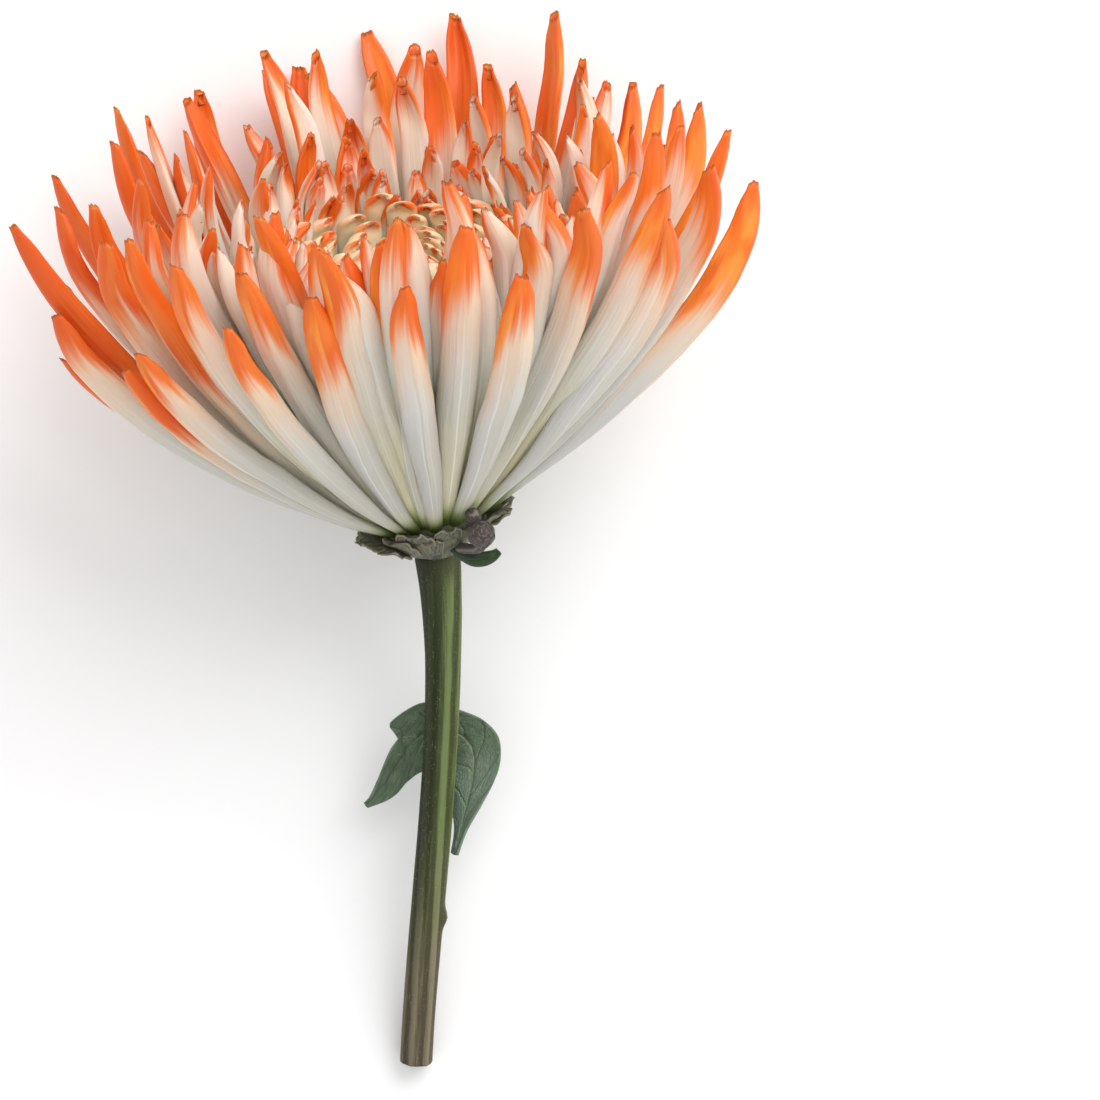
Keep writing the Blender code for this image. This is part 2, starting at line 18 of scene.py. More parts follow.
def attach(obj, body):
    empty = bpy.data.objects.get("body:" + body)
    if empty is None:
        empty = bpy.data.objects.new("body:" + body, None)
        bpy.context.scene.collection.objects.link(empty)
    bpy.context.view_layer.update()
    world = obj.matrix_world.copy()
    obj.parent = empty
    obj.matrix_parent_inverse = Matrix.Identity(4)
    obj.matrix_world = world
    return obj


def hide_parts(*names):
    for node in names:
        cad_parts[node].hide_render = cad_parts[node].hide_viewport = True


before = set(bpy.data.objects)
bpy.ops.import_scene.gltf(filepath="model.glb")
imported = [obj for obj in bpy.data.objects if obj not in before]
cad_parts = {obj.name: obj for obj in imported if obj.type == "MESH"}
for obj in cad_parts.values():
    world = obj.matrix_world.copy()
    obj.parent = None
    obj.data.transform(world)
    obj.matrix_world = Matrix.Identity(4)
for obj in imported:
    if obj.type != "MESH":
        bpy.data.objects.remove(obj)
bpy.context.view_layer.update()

MM = 0.001


def mm(*sizes):
    """Sizes given in millimetres, in metres."""
    return tuple(size * MM for size in sizes)


# Lie of the flower, and the camera above it
BOX_CENTRE = Vector((-0.00799, 0.00144, 0.0))
CALYX_HEIGHT = 27.2 * MM
AXIS_RISE = radians(22.0)
HEAD_LEAN = radians(5.6)
HEAD_SKEW = (0.12, -0.12)
SKEW_FROM = mm(3.7, 5.6)
FLOOR_CLEAR = mm(3.0, 1.5, 0.45)
FRAME_WIDTH = 181.17 * MM
CAMERA_HEIGHT = 1.15
SHARP_HEIGHT = 40.0 * MM
CAMERA_ASIDE = 18.77 * MM
TABLE_DROP = 0.2 * MM

# Light: the strength of the white room, and the lamp's place, aim, size and power
ROOM_LIGHT = 0.85
LAMP_PLACE = Vector((0.62, 0.85, 1.0))
LAMP_AIM = Vector((0, 0.02, 0.03))
LAMP_SIZE = 1.1
LAMP_POWER = 12.5

# Long ray florets, from the lowest row to the ring round the heart
RAY_COUNT = 130
RAY_OUTER = 65
RAY_SEED = 14000
RAY_LOOK_SEED = 9100
RAY_REACH = mm(63.5, 24.5)
RAY_REACH_SPREAD = mm(-4.5, 2.5)
RAY_HEIGHT = mm(60.0, 67.5, 58.5)
RAY_HEIGHT_SPREAD = mm(-4.5, 4.0)
RAY_ROOT_RADIUS = mm(5.6, 4.2)
RAY_ROOT_HEIGHT = mm(4.4, 6.6)
RAY_ROOT_LEAN = (64.0, 27.0)
RAY_TIP_LEAN = (17.0, -14.0)
RAY_TIP_SPREAD = 9.0
RAY_TURN_SPREAD = 3.5
RAY_SWAY = 4.0 * MM
RAY_WIDTH = mm(7.1, 5.7)
RAY_WIDTH_SPREAD = (0.84, 1.1)
RAY_SLIM = 0.89
RAY_SLIM_INNER = 0.86
RAY_FLATNESS = (0.42, 0.5)
RAY_FACE_TURN = 38.0
RAY_TWIST_SPREAD = 16.0
RAY_DYE = (0.76, 0.95)
TALL_SHARE = 0.12
TALL_EXTRA = 5.0 * MM
FRONT_DRAW_IN = 0.36
FRONT_HIGHER = 3.0 * MM
FRONT_STEEPER = 18.0
LEFT_FLATTER = 7.0
LEFT_WIDER = 1.5 * MM
BACK_HIGHER = 4.5 * MM
BACK_WIDER = 1.5 * MM

# Creases of the long florets, in degrees from the middle of the outer or inner side, and their two crests
CREASE_LEFT = (-38, -8)
CREASE_RIGHT = (8, 40)
CREASE_INNER = 15
CREASE_DEPTH = (0.1, 0.4)
CREST_PLACE = (-0.45, 0.1)
CREST_STEEPNESS = (0.25, 0.7)
SECOND_CREST = (0.2, 0.6)

# Shorter florets under the lowest row, at the left of the lying flower
LOW_COUNT = 7
LOW_SEED = 6100
LOW_LOOK_SEED = 7700
LOW_FROM = 156.0
LOW_STEP = 12.5
LOW_TURN_SPREAD = 5
LOW_CUT = (0.76, 0.9)
LOW_FRONT_LONGER = 0.13
LOW_WIDTH = mm(5.0, 6.4)
LOW_FLATNESS = 0.45
LOW_FLATTER = 2
LOW_UNDER = 3.0 * MM
LOW_DYE = (0.7, 0.86)
LOW_CREASE = 0.3

# Narrow young florets between the long ones and the heart
YOUNG_COUNT = 84
YOUNG_SEED = 2500
YOUNG_LOOK_SEED = 8200
YOUNG_FROM = 61
YOUNG_TURN_SPREAD = 6
YOUNG_REACH = mm(27.0, 16.5)
YOUNG_REACH_SPREAD = 1.2 * MM
YOUNG_HEIGHT = mm(62.5, 57.5)
YOUNG_HEIGHT_SPREAD = mm(-4.0, 2.5)
YOUNG_FRONT_LOWER = 4.0 * MM
YOUNG_ROOT = mm(4.0, 6.8)
YOUNG_ROOT_LEAN = (26.0, 20.0)
YOUNG_TIP_LEAN = (-8.0, -30.0)
YOUNG_TIP_SPREAD = 10
YOUNG_SWAY = 1.5 * MM
YOUNG_WIDTH = mm(4.3, 3.3)
YOUNG_WIDTH_SPREAD = (0.85, 1.15)
YOUNG_FLATNESS = 0.6
YOUNG_DYE = 0.955

# Short incurved florets of the heart, with small ones between them
HEART_COUNT = 56
HEART_SEED = 7300
HEART_LOOK_SEED = 4700
HEART_REACH = mm(17.0, 0.8)
HEART_HEIGHT = 56.5 * MM
HEART_HEIGHT_SPREAD = 1.2 * MM
HEART_DIP = 5.5 * MM
HEART_ROOT_SHARE = 0.72
HEART_ROOT_HEIGHT = mm(30.0, 36.0)
HEART_ROOT_LEAN = (22.0, 5.0)
HEART_TIP_LEAN = (-64.0, -42.0)
HEART_TIP_SPREAD = 8.0
HEART_TURN_SPREAD = 5.0
HEART_WIDTH = mm(5.8, 3.8)
HEART_WIDTH_SPREAD = (0.9, 1.1)
HEART_FLATNESS = 0.6
HEART_BROADER = 1.08
HEART_THINNER = 0.8
SMALL_COUNT = 52
SMALL_SEED = 3900
SMALL_FROM = 25
SMALL_TURN_SPREAD = 6
SMALL_REACH = mm(15.5, 1.5)
SMALL_HEIGHT = mm(54.5, 50.5)
SMALL_HEIGHT_SPREAD = 1.0 * MM
SMALL_ROOT_SHARE = 0.8
SMALL_ROOT_HEIGHT = 36 * MM
SMALL_ROOT_LEAN = (20, 4)
SMALL_TIP_LEAN = (-55, -25)
SMALL_TIP_SPREAD = 8
SMALL_WIDTH = mm(3.8, 2.4)
SMALL_FLATNESS = 0.55

# Turned profiles about the head's axis, as (radius, height) in mm from top to bottom
RECEPTACLE = ((0, 9.4), (4.4, 9.0), (6.6, 7.8), (7.8, 6.0), (7.9, 4.5), (7.1, 3.1), (0, 1.8))
HEART_CORE = ((0, 40), (7, 39.5), (10.6, 37), (12, 33), (10.6, 26), (7.2, 17), (4.4, 11.5), (3.4, 10))
HEART_CORE += ((0, 10),)
CUP_INSIDE = ((0, 1.4), (6.9, 2.7), (7.7, 4.0), (8.1, 4.4))
CUP_OUTSIDE = ((8.7, 4.4), (8.9, 3.5), (7.0, 1.7), (5.6, 0.6), (4.4, 0.1), (3.5, -0.3), (0, -0.3))

# Bracts of the cup, from the lowest, which turn outwards, to the highest
BRACT_COUNT = 23
BRACT_SEED = 5200
BRACT_LOOK_SEED = 3300
BRACT_FIRST = 20.0
BRACT_ROOT_RADIUS = 6.3 * MM
BRACT_ROOT_HEIGHT = mm(0.9, 2.3)
BRACT_ROOT_LEAN = (60.0, 52.0)
BRACT_REACH = mm(13.0, 10.4)
BRACT_REACH_SPREAD = mm(-0.8, 1.2)
BRACT_UNDER_RAYS = mm(2.6, 0.9)
BRACT_HEIGHT_SPREAD = mm(-0.3, 0.1)
BRACT_TIP_LEAN = (118.0, 60.0)
BRACT_TIP_SPREAD = 8.0
BRACT_FRONT_UPRIGHT = 12.0
BRACT_WIDTH = 5.8 * MM
BRACT_WIDTH_SPREAD = (0.85, 1.2)
BRACT_THICK = 0.9 * MM
RAY_HALF_THICK = 1.5 * MM

# Side bud, its scales as degrees on its ball, and its bract
BUD_AZIMUTH = -56.0
BUD_BAY = 19.0
BUD_PLACE = mm(13.8, 6.6)
BUD_RADIUS = 2.25 * MM
BUD_KNOB = mm(-1.3, 3.1, 1.3)
BUD_FACES = (0.35, -0.75, 0.55)
BUD_LOOK_SEED = 600
BUD_SCALES = (16, 8)
SCALE_FOOT = -70
SCALE_LENGTH = (105, 150)
SCALE_WIDTH = 1.15
SCALE_THICK = 0.45 * MM
BUD_FOOT = mm(6.6, 0.8)
BUD_STALK = mm(1.9, 1.7)
BUD_STALK_LEAN = (60.0, 5.0)
CRESCENT = ((2.6, 0.2, 5.9), (5.2, -2.0, 7.8), (8.2, -2.2, 8.4), (10.3, -0.2, 8.4))
CRESCENT_WIDTH = 2.5 * MM
CRESCENT_THICK = 1.2 * MM

# Stem, with its radius by the share of its length, and its ribs as (count, share of the relief, wander)
STEM_TOP = -1.5 * MM
STEM_RUN = 87.0 * MM
STEM_INTO_CUP = 2.2 * MM
STEM_DRIFT = -4.0 * MM
STEM_STRAIGHT = 0.33
STEM_RADIUS = ((0.0, 3.7 * MM), (0.07, 3.35 * MM), (0.2, 2.95 * MM), (0.4, 2.8 * MM), (1.0, 2.7 * MM))
STEM_PRESSED = 0.88
STEM_SIDES = 64
STEM_RINGS = 110
STEM_RIB = 0.035
STEM_RIBS = ((6, 1.0, 0), (11, 0.35, 3), (17, 0.25, 8))
CUT_RINGS = (0.96, 0.7, 0.4, 0.12)
CUT_PROUD = 0.12 * MM
CUT_HOLLOW = 0.1 * MM
SCAR_PLACE = 0.7
SCAR_RADIUS = 0.75 * MM

# Leaf: outer edge, midrib and inner edge, each as (right of the stem's centre, below the bloom), in mm
LEAF_ROWS = (
    ((4.2, 51.6), (3.7, 51.5), (3.25, 51.2)),
    ((5.4, 47.3), (4.4, 47.3), (3.5, 47.2)),
    ((7.5, 43.0), (5.1, 43.6), (2.6, 43.4)),
    ((9.4, 39.0), (5.7, 40.0), (1.5, 40.4)),
    ((10.2, 35.5), (5.9, 36.3), (1.0, 38.2)),
    ((9.6, 31.5), (5.2, 33.2), (0.4, 37.2)),
    ((7.0, 28.8), (3.6, 31.4), (-0.3, 36.8)),
    ((3.5, 27.3), (1.4, 30.6), (-1.2, 36.9)),
    ((0.0, 26.2), (-1.0, 30.6), (-2.4, 37.2)),
    ((-4.0, 26.0), (-3.4, 31.5), (-3.7, 37.8)),
    ((-8.7, 29.3), (-5.4, 33.3), (-5.0, 38.9)),
    ((-6.6, 30.6), (-6.4, 34.8), (-5.7, 39.4)),
    ((-8.4, 33.9), (-7.8, 36.9), (-7.0, 41.2)),
    ((-9.9, 38.2), (-9.3, 39.6), (-8.6, 42.3)),
    ((-11.3, 41.8), (-10.8, 42.0), (-10.4, 43.0)),
    ((-12.2, 43.0), (-12.0, 43.4), (-11.8, 43.5)),
)
LEAF_DEPTH = mm(0.6, 5.4)
LEAF_LEVEL_ROW = 8
LEAF_CURL = mm(-0.6, 1.0)
LEAF_RIPPLE = 0.25 * MM
LEAF_GUTTER = 0.35 * MM
LEAF_THICK = 0.7 * MM
LEAF_BLADE = 0.55 * MM
LEAF_GAP = 0.3 * MM
LEAF_GRID = (91, 14)

# Kinds of blade. The last five sizes are in metres: how deep the mouth goes, the rim's teeth, its slant,
# and how far the whole blade wobbles and its edges ruffle
BLADE_INPUTS = ("Around", "Along", "Root share", "Broad from", "Narrow from", "Tip share", "Round")
BLADE_INPUTS += ("Mouth", "Teeth", "Slant", "Wobble", "Ruffle")
KINDS = {
    "long": (24, 30, 0.45, 0.52, 0.76, 0.52, 0.36, *mm(2.0, 1.3, 1.0, 1.4, 0.0)),
    "young": (18, 24, 0.4, 0.6, 0.78, 0.6, 0.4, *mm(1.4, 1.4, 0.8, 1.2, 0.0)),
    "short": (16, 18, 0.6, 0.5, 0.78, 0.6, 0.5, *mm(1.0, 0.6, 0.6, 0.4, 0.0)),
    "bract": (20, 16, 0.75, 0.6, 0.75, 0.4, 0.0, *mm(0.0, 1.2, 0.0, 0.6, 3.4)),
    "scale": (12, 14, 0.8, 0.4, 0.5, 0.35, 0.0, *mm(0.0, 0.15, 0.0, 0.0, 0.0)),
    "stalk": (12, 14, 1.0, 0.4, 0.9, 0.9, 0.0, *mm(0.0, 0.15, 0.0, 0.0, 0.0)),
    "crescent": (24, 26, 0.5, 0.5, 0.6, 0.5, 0.0, *mm(0.0, 0.5, 0.0, 0.2, 0.4)),
}

GOLDEN_ANGLE = 137.508

# The head's own frame in the world: its +Z is the flower's axis and its -Y faces up from the table
HEAD_TURN = Matrix.Rotation(HEAD_LEAN, 4, "Z") @ Matrix.Rotation(AXIS_RISE - pi / 2, 4, "X")
HEAD = Matrix.Translation(Vector((0, 0, CALYX_HEIGHT)) - BOX_CENTRE) @ HEAD_TURN

Blade = collections.namedtuple("Blade", "points side width thick twist", defaults=(0.0,))


class Draw(random.Random):
    """The plant's own chance, the same on each run."""

    def stray(self, most):
        """A number up to this far from 0, to either side."""
        return self.uniform(-most, most)


# Rules of the plant, as in the solids


def smooth(low, high, value):
    """A soft step from 0 at low to 1 at high."""
    t = min(1.0, max(0.0, (value - low) / (high - low)))
    return t * t * (3 - 2 * t)


def mix(a, b, t):
    """A number or point from a, where t is 0, to b, where it is 1. It works on wires too, as bezier does."""
    return a + (b - a) * t


def radial(azimuth, radius, height):
    """A point of the head, in the world."""
    return HEAD @ Vector((radius * cos(azimuth), radius * sin(azimuth), height))


def blade_along(azimuth, root, tip, leans, sway, width, thick):
    """A blade in the plane of its azimuth, with root and tip as (radius, height) and leans in degrees."""
    third = dist(root, tip) / 3
    lean_a, lean_b = [radians(lean) for lean in leans]
    flat = (
        root,
        (root[0] + third * sin(lean_a), root[1] + third * cos(lean_a)),
        (tip[0] - third * sin(lean_b), tip[1] - third * cos(lean_b)),
        tip,
    )
    across = HEAD.to_3x3() @ Vector((-sin(azimuth), cos(azimuth), 0))
    points = [radial(azimuth, r, h) for r, h in flat]
    points[2] += across * sway * 0.5
    points[3] += across * sway
    for point, clear in zip(points[1:], FLOOR_CLEAR):
        point.z = max(point.z, clear)
    return Blade(points, across, width, thick)


def skewed(azimuth, radius, height):
    """Height of a point of the head's base, which is skewed outside the stem, up at its right and front."""
    along, over = HEAD_SKEW
    slope = smooth(*SKEW_FROM, radius) * (along * cos(azimuth) + over * sin(azimuth))
    return height + radius * slope


def upper_side(azimuth):
    """1 at the upper side of the lying flower, falling to 0 at its left and right."""
    return max(0.0, -sin(azimuth)) ** 1.5


def leaning(azimuth, age):
    """Degrees off the axis at a floret's root, least on the upper side and most at the left."""
    change = -LEFT_FLATTER * cos(azimuth) - FRONT_STEEPER * upper_side(azimuth)
    return mix(*RAY_ROOT_LEAN, age**0.85) + change * (1 - age)


def ray_floret(index):
    """Long floret number index of the spiral: 0 is the lowest and widest spread."""
    draw = Draw(RAY_SEED + index)
    age = index / (RAY_COUNT - 1)
    azimuth = radians(index * GOLDEN_ANGLE + draw.stray(RAY_TURN_SPREAD))
    loose = 1 - 0.6 * smooth(0.6, 1.0, age)
    front = upper_side(azimuth)
    reach = mix(*RAY_REACH, age**0.92) * (1 - FRONT_DRAW_IN * front * (1 - age))
    reach += loose * draw.uniform(*RAY_REACH_SPREAD)
    reach += (BACK_WIDER * sin(azimuth) - LEFT_WIDER * cos(azimuth)) * (1 - age)
    low, high, inner = RAY_HEIGHT
    height = mix(mix(low, high, smooth(0, 0.3, age)), inner, smooth(0.5, 1.0, age))
    height += loose * draw.uniform(*RAY_HEIGHT_SPREAD) + TALL_EXTRA * (draw.random() > 1 - TALL_SHARE)
    height += BACK_HIGHER * max(0.0, sin(azimuth)) + FRONT_HIGHER * front * (1 - 1.7 * age)
    root_radius = mix(*RAY_ROOT_RADIUS, age)
    root = (root_radius, skewed(azimuth, root_radius, mix(*RAY_ROOT_HEIGHT, age)))
    tip_lean = mix(*RAY_TIP_LEAN, smooth(0.1, 1.0, age)) + draw.stray(RAY_TIP_SPREAD)
    sway = loose * draw.stray(RAY_SWAY)
    width = mix(*RAY_WIDTH, age) * draw.uniform(*RAY_WIDTH_SPREAD)
    thick = width * draw.uniform(*RAY_FLATNESS)
    leans = (leaning(azimuth, age), tip_lean)
    blade = blade_along(azimuth, root, (reach, height), leans, sway, width, thick)
    twist = -RAY_FACE_TURN * cos(azimuth) * (1 - 0.5 * age) + draw.stray(RAY_TWIST_SPREAD)
    return blade._replace(twist=radians(twist))


def cut_short(blade, t):
    """The first part of a blade, up to t of its curve."""
    a, b, c, d = blade.points
    ab, bc, cd = mix(a, b, t), mix(b, c, t), mix(c, d, t)
    abc, bcd = mix(ab, bc, t), mix(bc, cd, t)
    return blade._replace(points=[a, ab, abc, mix(abc, bcd, t)])


def low_floret(index):
    """Shorter floret number index under the lowest row: 0 is at the back of the left side."""
    draw = Draw(LOW_SEED + index)
    azimuth = radians(LOW_FROM + LOW_STEP * index + draw.stray(LOW_TURN_SPREAD))
    reach = RAY_REACH[0] * (1 - FRONT_DRAW_IN * upper_side(azimuth)) - LEFT_WIDER * cos(azimuth)
    root = (RAY_ROOT_RADIUS[0], skewed(azimuth, RAY_ROOT_RADIUS[0], RAY_ROOT_HEIGHT[0]))
    tip = (reach, RAY_HEIGHT[0] - LOW_UNDER)
    width = draw.uniform(*LOW_WIDTH)
    leans = (leaning(azimuth, 0) + LOW_FLATTER, RAY_TIP_LEAN[0])
    blade = blade_along(azimuth, root, tip, leans, draw.stray(RAY_SWAY), width, LOW_FLATNESS * width)
    twist = -RAY_FACE_TURN * cos(azimuth) + draw.stray(RAY_TWIST_SPREAD)
    cut = draw.uniform(*LOW_CUT) + LOW_FRONT_LONGER * upper_side(azimuth)
    return cut_short(blade, min(cut, 1.0))._replace(twist=radians(twist))


def young_floret(index):
    """Young floret number index: 0 is the outermost."""
    draw = Draw(YOUNG_SEED + index)
    age = index / (YOUNG_COUNT - 1)
    azimuth = radians(YOUNG_FROM + index * GOLDEN_ANGLE + draw.stray(YOUNG_TURN_SPREAD))
    reach = mix(*YOUNG_REACH, age) + draw.stray(YOUNG_REACH_SPREAD)
    height = mix(*YOUNG_HEIGHT, age) + draw.uniform(*YOUNG_HEIGHT_SPREAD)
    height -= YOUNG_FRONT_LOWER * upper_side(azimuth)
    tip_lean = mix(*YOUNG_TIP_LEAN, age) + draw.stray(YOUNG_TIP_SPREAD)
    width = mix(*YOUNG_WIDTH, age) * draw.uniform(*YOUNG_WIDTH_SPREAD)
    leans = (mix(*YOUNG_ROOT_LEAN, age), tip_lean)
    sway = draw.stray(YOUNG_SWAY)
    return blade_along(azimuth, YOUNG_ROOT, (reach, height), leans, sway, width, YOUNG_FLATNESS * width)


def heart_floret(index):
    """Short floret number index of the heart: 0 is the outermost, and all of them curl towards the axis."""
    draw = Draw(HEART_SEED + index)
    age = index / (HEART_COUNT - 1)
    azimuth = radians(index * GOLDEN_ANGLE + draw.stray(HEART_TURN_SPREAD))
    outer, inner = HEART_REACH
    reach = outer * sqrt(1 - age) + inner
    height = HEART_HEIGHT - HEART_DIP * age**1.5 + draw.stray(HEART_HEIGHT_SPREAD)
    root = (HEART_ROOT_SHARE * reach, mix(*HEART_ROOT_HEIGHT, age))
    width = mix(*HEART_WIDTH, age) * draw.uniform(*HEART_WIDTH_SPREAD)
    tip_lean = mix(*HEART_TIP_LEAN, age) + draw.stray(HEART_TIP_SPREAD)
    leans = (mix(*HEART_ROOT_LEAN, age), tip_lean)
    return blade_along(azimuth, root, (reach, height), leans, 0.0, width, HEART_FLATNESS * width)


def small_heart_floret(index):
    """One of the small florets between those of the heart."""
    draw = Draw(SMALL_SEED + index)
    age = index / (SMALL_COUNT - 1)
    azimuth = radians(SMALL_FROM + index * GOLDEN_ANGLE + draw.stray(SMALL_TURN_SPREAD))
    reach = mix(*SMALL_REACH, age**0.6)
    height = mix(*SMALL_HEIGHT, age) + draw.stray(SMALL_HEIGHT_SPREAD)
    width = mix(*SMALL_WIDTH, age)
    leans = (mix(*SMALL_ROOT_LEAN, age), mix(*SMALL_TIP_LEAN, age) + draw.stray(SMALL_TIP_SPREAD))
    root = (SMALL_ROOT_SHARE * reach, SMALL_ROOT_HEIGHT)
    return blade_along(azimuth, root, (reach, height), leans, 0.0, width, SMALL_FLATNESS * width)


def underside(azimuth, radius):
    """Height of the undersides of the lowest florets, near their roots."""
    root_radius = RAY_ROOT_RADIUS[0]
    rise = (radius - root_radius) / tan(radians(leaning(azimuth, 0)))
    return skewed(azimuth, root_radius, RAY_ROOT_HEIGHT[0]) + rise - RAY_HALF_THICK


def bract(index):
    """Bract number index: 0 is the lowest. There is none where the side bud stands."""
    draw = Draw(BRACT_SEED + index)
    age = index / (BRACT_COUNT - 1)
    degrees = BRACT_FIRST + index * GOLDEN_ANGLE
    if abs((degrees - BUD_AZIMUTH + 180) % 360 - 180) < BUD_BAY:
        return None
    azimuth = radians(degrees)
    front = max(0.0, -sin(azimuth))
    reach = mix(*BRACT_REACH, front) + draw.uniform(*BRACT_REACH_SPREAD)
    height = underside(azimuth, reach) - mix(*BRACT_UNDER_RAYS, age) + draw.uniform(*BRACT_HEIGHT_SPREAD)
    root = (BRACT_ROOT_RADIUS, skewed(azimuth, BRACT_ROOT_RADIUS, mix(*BRACT_ROOT_HEIGHT, age)))
    width = BRACT_WIDTH * draw.uniform(*BRACT_WIDTH_SPREAD)
    tip_lean = mix(*BRACT_TIP_LEAN, age) - BRACT_FRONT_UPRIGHT * front
    tip_lean += draw.stray(BRACT_TIP_SPREAD)
    leans = (mix(*BRACT_ROOT_LEAN, age), tip_lean)
    return blade_along(azimuth, root, (reach, height), leans, 0.0, width, BRACT_THICK)


def bezier(points, t):
    """The point at t of the cubic curve with these four points."""
    a, b, c, d = points
    s = 1 - t
    return a * s**3 + b * (3 * s * s * t) + c * (3 * s * t * t) + d * t**3


def bezier_heading(points, t):
    """The way the curve heads at t."""
    a, b, c, d = points
    s = 1 - t
    return ((b - a) * (s * s) + (c - b) * (2 * s * t) + (d - c) * (t * t)).normalized()


def stem_points():
    """The four points of the stem's path, from under the bloom to the cut end that lies on the table."""
    top = HEAD @ Vector((0, 0, STEM_TOP))
    down = HEAD.to_3x3() @ Vector((0, 0, -1))
    end = Vector((STEM_DRIFT, -STEM_RUN, STEM_PRESSED * STEM_RADIUS[-1][1])) - BOX_CENTRE
    return [top, top + down * STEM_STRAIGHT * STEM_RUN, mix(end, top, 0.3), end]


def stem_radius(t):
    """The stem's radius at this share of its length."""
    for (a, low), (b, high) in zip(STEM_RADIUS, STEM_RADIUS[1:]):
        if t <= b:
            return mix(low, high, (t - a) / (b - a))
    return STEM_RADIUS[-1][1]


def stem_place(points, below):
    """The share of the stem's path that lies this far below the bloom, seen from above."""
    low, high = 0.0, 1.0
    while high - low > 1e-6:
        middle = 0.5 * (low + high)
        if bezier(points, middle).y + BOX_CENTRE.y > -below:
            low = middle
        else:
            high = middle
    return low


def leaf_point(points, right, below, depth):
    """A point of the leaf, pushed clear of the stem that it passes behind."""
    t = stem_place(points, below)
    clear = stem_radius(t) * (1 + STEM_RIB) + LEAF_GAP + LEAF_THICK
    if abs(right) < clear:
        depth = max(depth, sqrt(clear**2 - right**2))
    return bezier(points, t) + Vector((right, 0, -depth))


# Node trees, written as Python expressions


class Wire:
    """A socket of a node tree. Python's operators on it add the Math or Vector Math nodes they stand for."""

    def __init__(self, tree, socket=None):
        self.tree, self.socket = tree, socket

    def node(self, kind, settings=None, sockets=None, output=0):
        """Adds a node: its settings first, then the values or links of its sockets."""
        made = self.tree.nodes.new(kind)
        for key, value in (settings or {}).items():
            setattr(made, key, value)
        for key, value in (sockets or {}).items():
            if isinstance(value, Wire):
                self.tree.links.new(value.socket, made.inputs[key])
            else:
                made.inputs[key].default_value = value
        return Wire(self.tree, made.outputs[output])

    def maths(self, operation, left, right):
        """left and right under one operation, as numbers or as vectors."""
        vectors = [isinstance(x, Wire) and x.socket.type == "VECTOR" for x in (left, right)]
        if not any(vectors):
            return self.node("ShaderNodeMath", {"operation": operation}, {0: left, 1: right})
        if operation == "MULTIPLY" and not all(vectors):
            vector, number = (left, right) if vectors[0] else (right, left)
            return self.node("ShaderNodeVectorMath", {"operation": "SCALE"}, {0: vector, 3: number})
        return self.node("ShaderNodeVectorMath", {"operation": operation}, {0: left, 1: right})

    def __add__(self, other):
        return self.maths("ADD", self, other)

    def __radd__(self, other):
        return self.maths("ADD", other, self)

    def __sub__(self, other):
        return self.maths("SUBTRACT", self, other)

    def __rsub__(self, other):
        return self.maths("SUBTRACT", other, self)

    def __mul__(self, other):
        return self.maths("MULTIPLY", self, other)

    def __rmul__(self, other):
        return self.maths("MULTIPLY", other, self)

    def __truediv__(self, other):
        return self.maths("DIVIDE", self, other)

    def __pow__(self, other):
        return self.maths("POWER", self, other)

    def __abs__(self):
        return self.call("ABSOLUTE")

    def call(self, operation, other=0.0):
        """A Math node's function of this number."""
        return self.node("ShaderNodeMath", {"operation": operation}, {0: self, 1: other})

    def at_least(self, other):
        """This number, or the other where that is greater."""
        return self.call("MAXIMUM", other)

    def step(self, low, high):
        """A soft step from 0 at low to 1 at high, whichever is the greater."""
        settings = {"interpolation_type": "SMOOTHSTEP"}
        return self.node("ShaderNodeMapRange", settings, {0: self, 1: low, 2: high, 3: 0.0, 4: 1.0})

    def cross(self, other):
        return self.node("ShaderNodeVectorMath", {"operation": "CROSS_PRODUCT"}, {0: self, 1: other})

    def normalized(self):
        return self.node("ShaderNodeVectorMath", {"operation": "NORMALIZE"}, {0: self})

    def parts(self):
        """The three numbers of this vector."""
        made = self.node("ShaderNodeSeparateXYZ", None, {0: self})
        return [Wire(self.tree, output) for output in made.socket.node.outputs]

    def vector(self, x, y, z):
        return self.node("ShaderNodeCombineXYZ", None, {0: x, 1: y, 2: z})

    def tint(self, low, high):
        """A colour from low, where this is 0, to high, where it is 1."""
        return self.node("ShaderNodeMix", {"data_type": "RGBA"}, {0: self, 6: low, 7: high}, 2)

    def noise(self, scale, detail=2.0, rough=0.5):
        """Soft noise from 0 to 1 at the place that this vector gives."""
        sockets = {"Vector": self, "Scale": scale, "Detail": detail, "Roughness": rough}
        return self.node("ShaderNodeTexNoise", None, sockets)

    def keep(self, name, value, kind="FLOAT_VECTOR"):
        """This geometry with a value stored on its points."""
        settings = {"data_type": kind, "domain": "POINT"}
        sockets = {"Geometry": self, "Name": name, "Value": value}
        return self.node("GeometryNodeStoreNamedAttribute", settings, sockets)

    def kept(self, name, kind="FLOAT_VECTOR"):
        """The value that the points hold under this name."""
        return self.node("GeometryNodeInputNamedAttribute", {"data_type": kind}, {"Name": name})


def tree_with(name, inputs):
    """A geometry tree with named inputs, and its input sockets by name."""
    tree = bpy.data.node_groups.new(name, "GeometryNodeTree")
    tree.interface.new_socket("Geometry", in_out="INPUT", socket_type="NodeSocketGeometry")
    for key, kind in inputs.items():
        tree.interface.new_socket(key, in_out="INPUT", socket_type=f"NodeSocket{kind}")
    tree.interface.new_socket("Geometry", in_out="OUTPUT", socket_type="NodeSocketGeometry")
    group = tree.nodes.new("NodeGroupInput")
    return Wire(tree), {socket.name: Wire(tree, socket) for socket in group.outputs if socket.name}


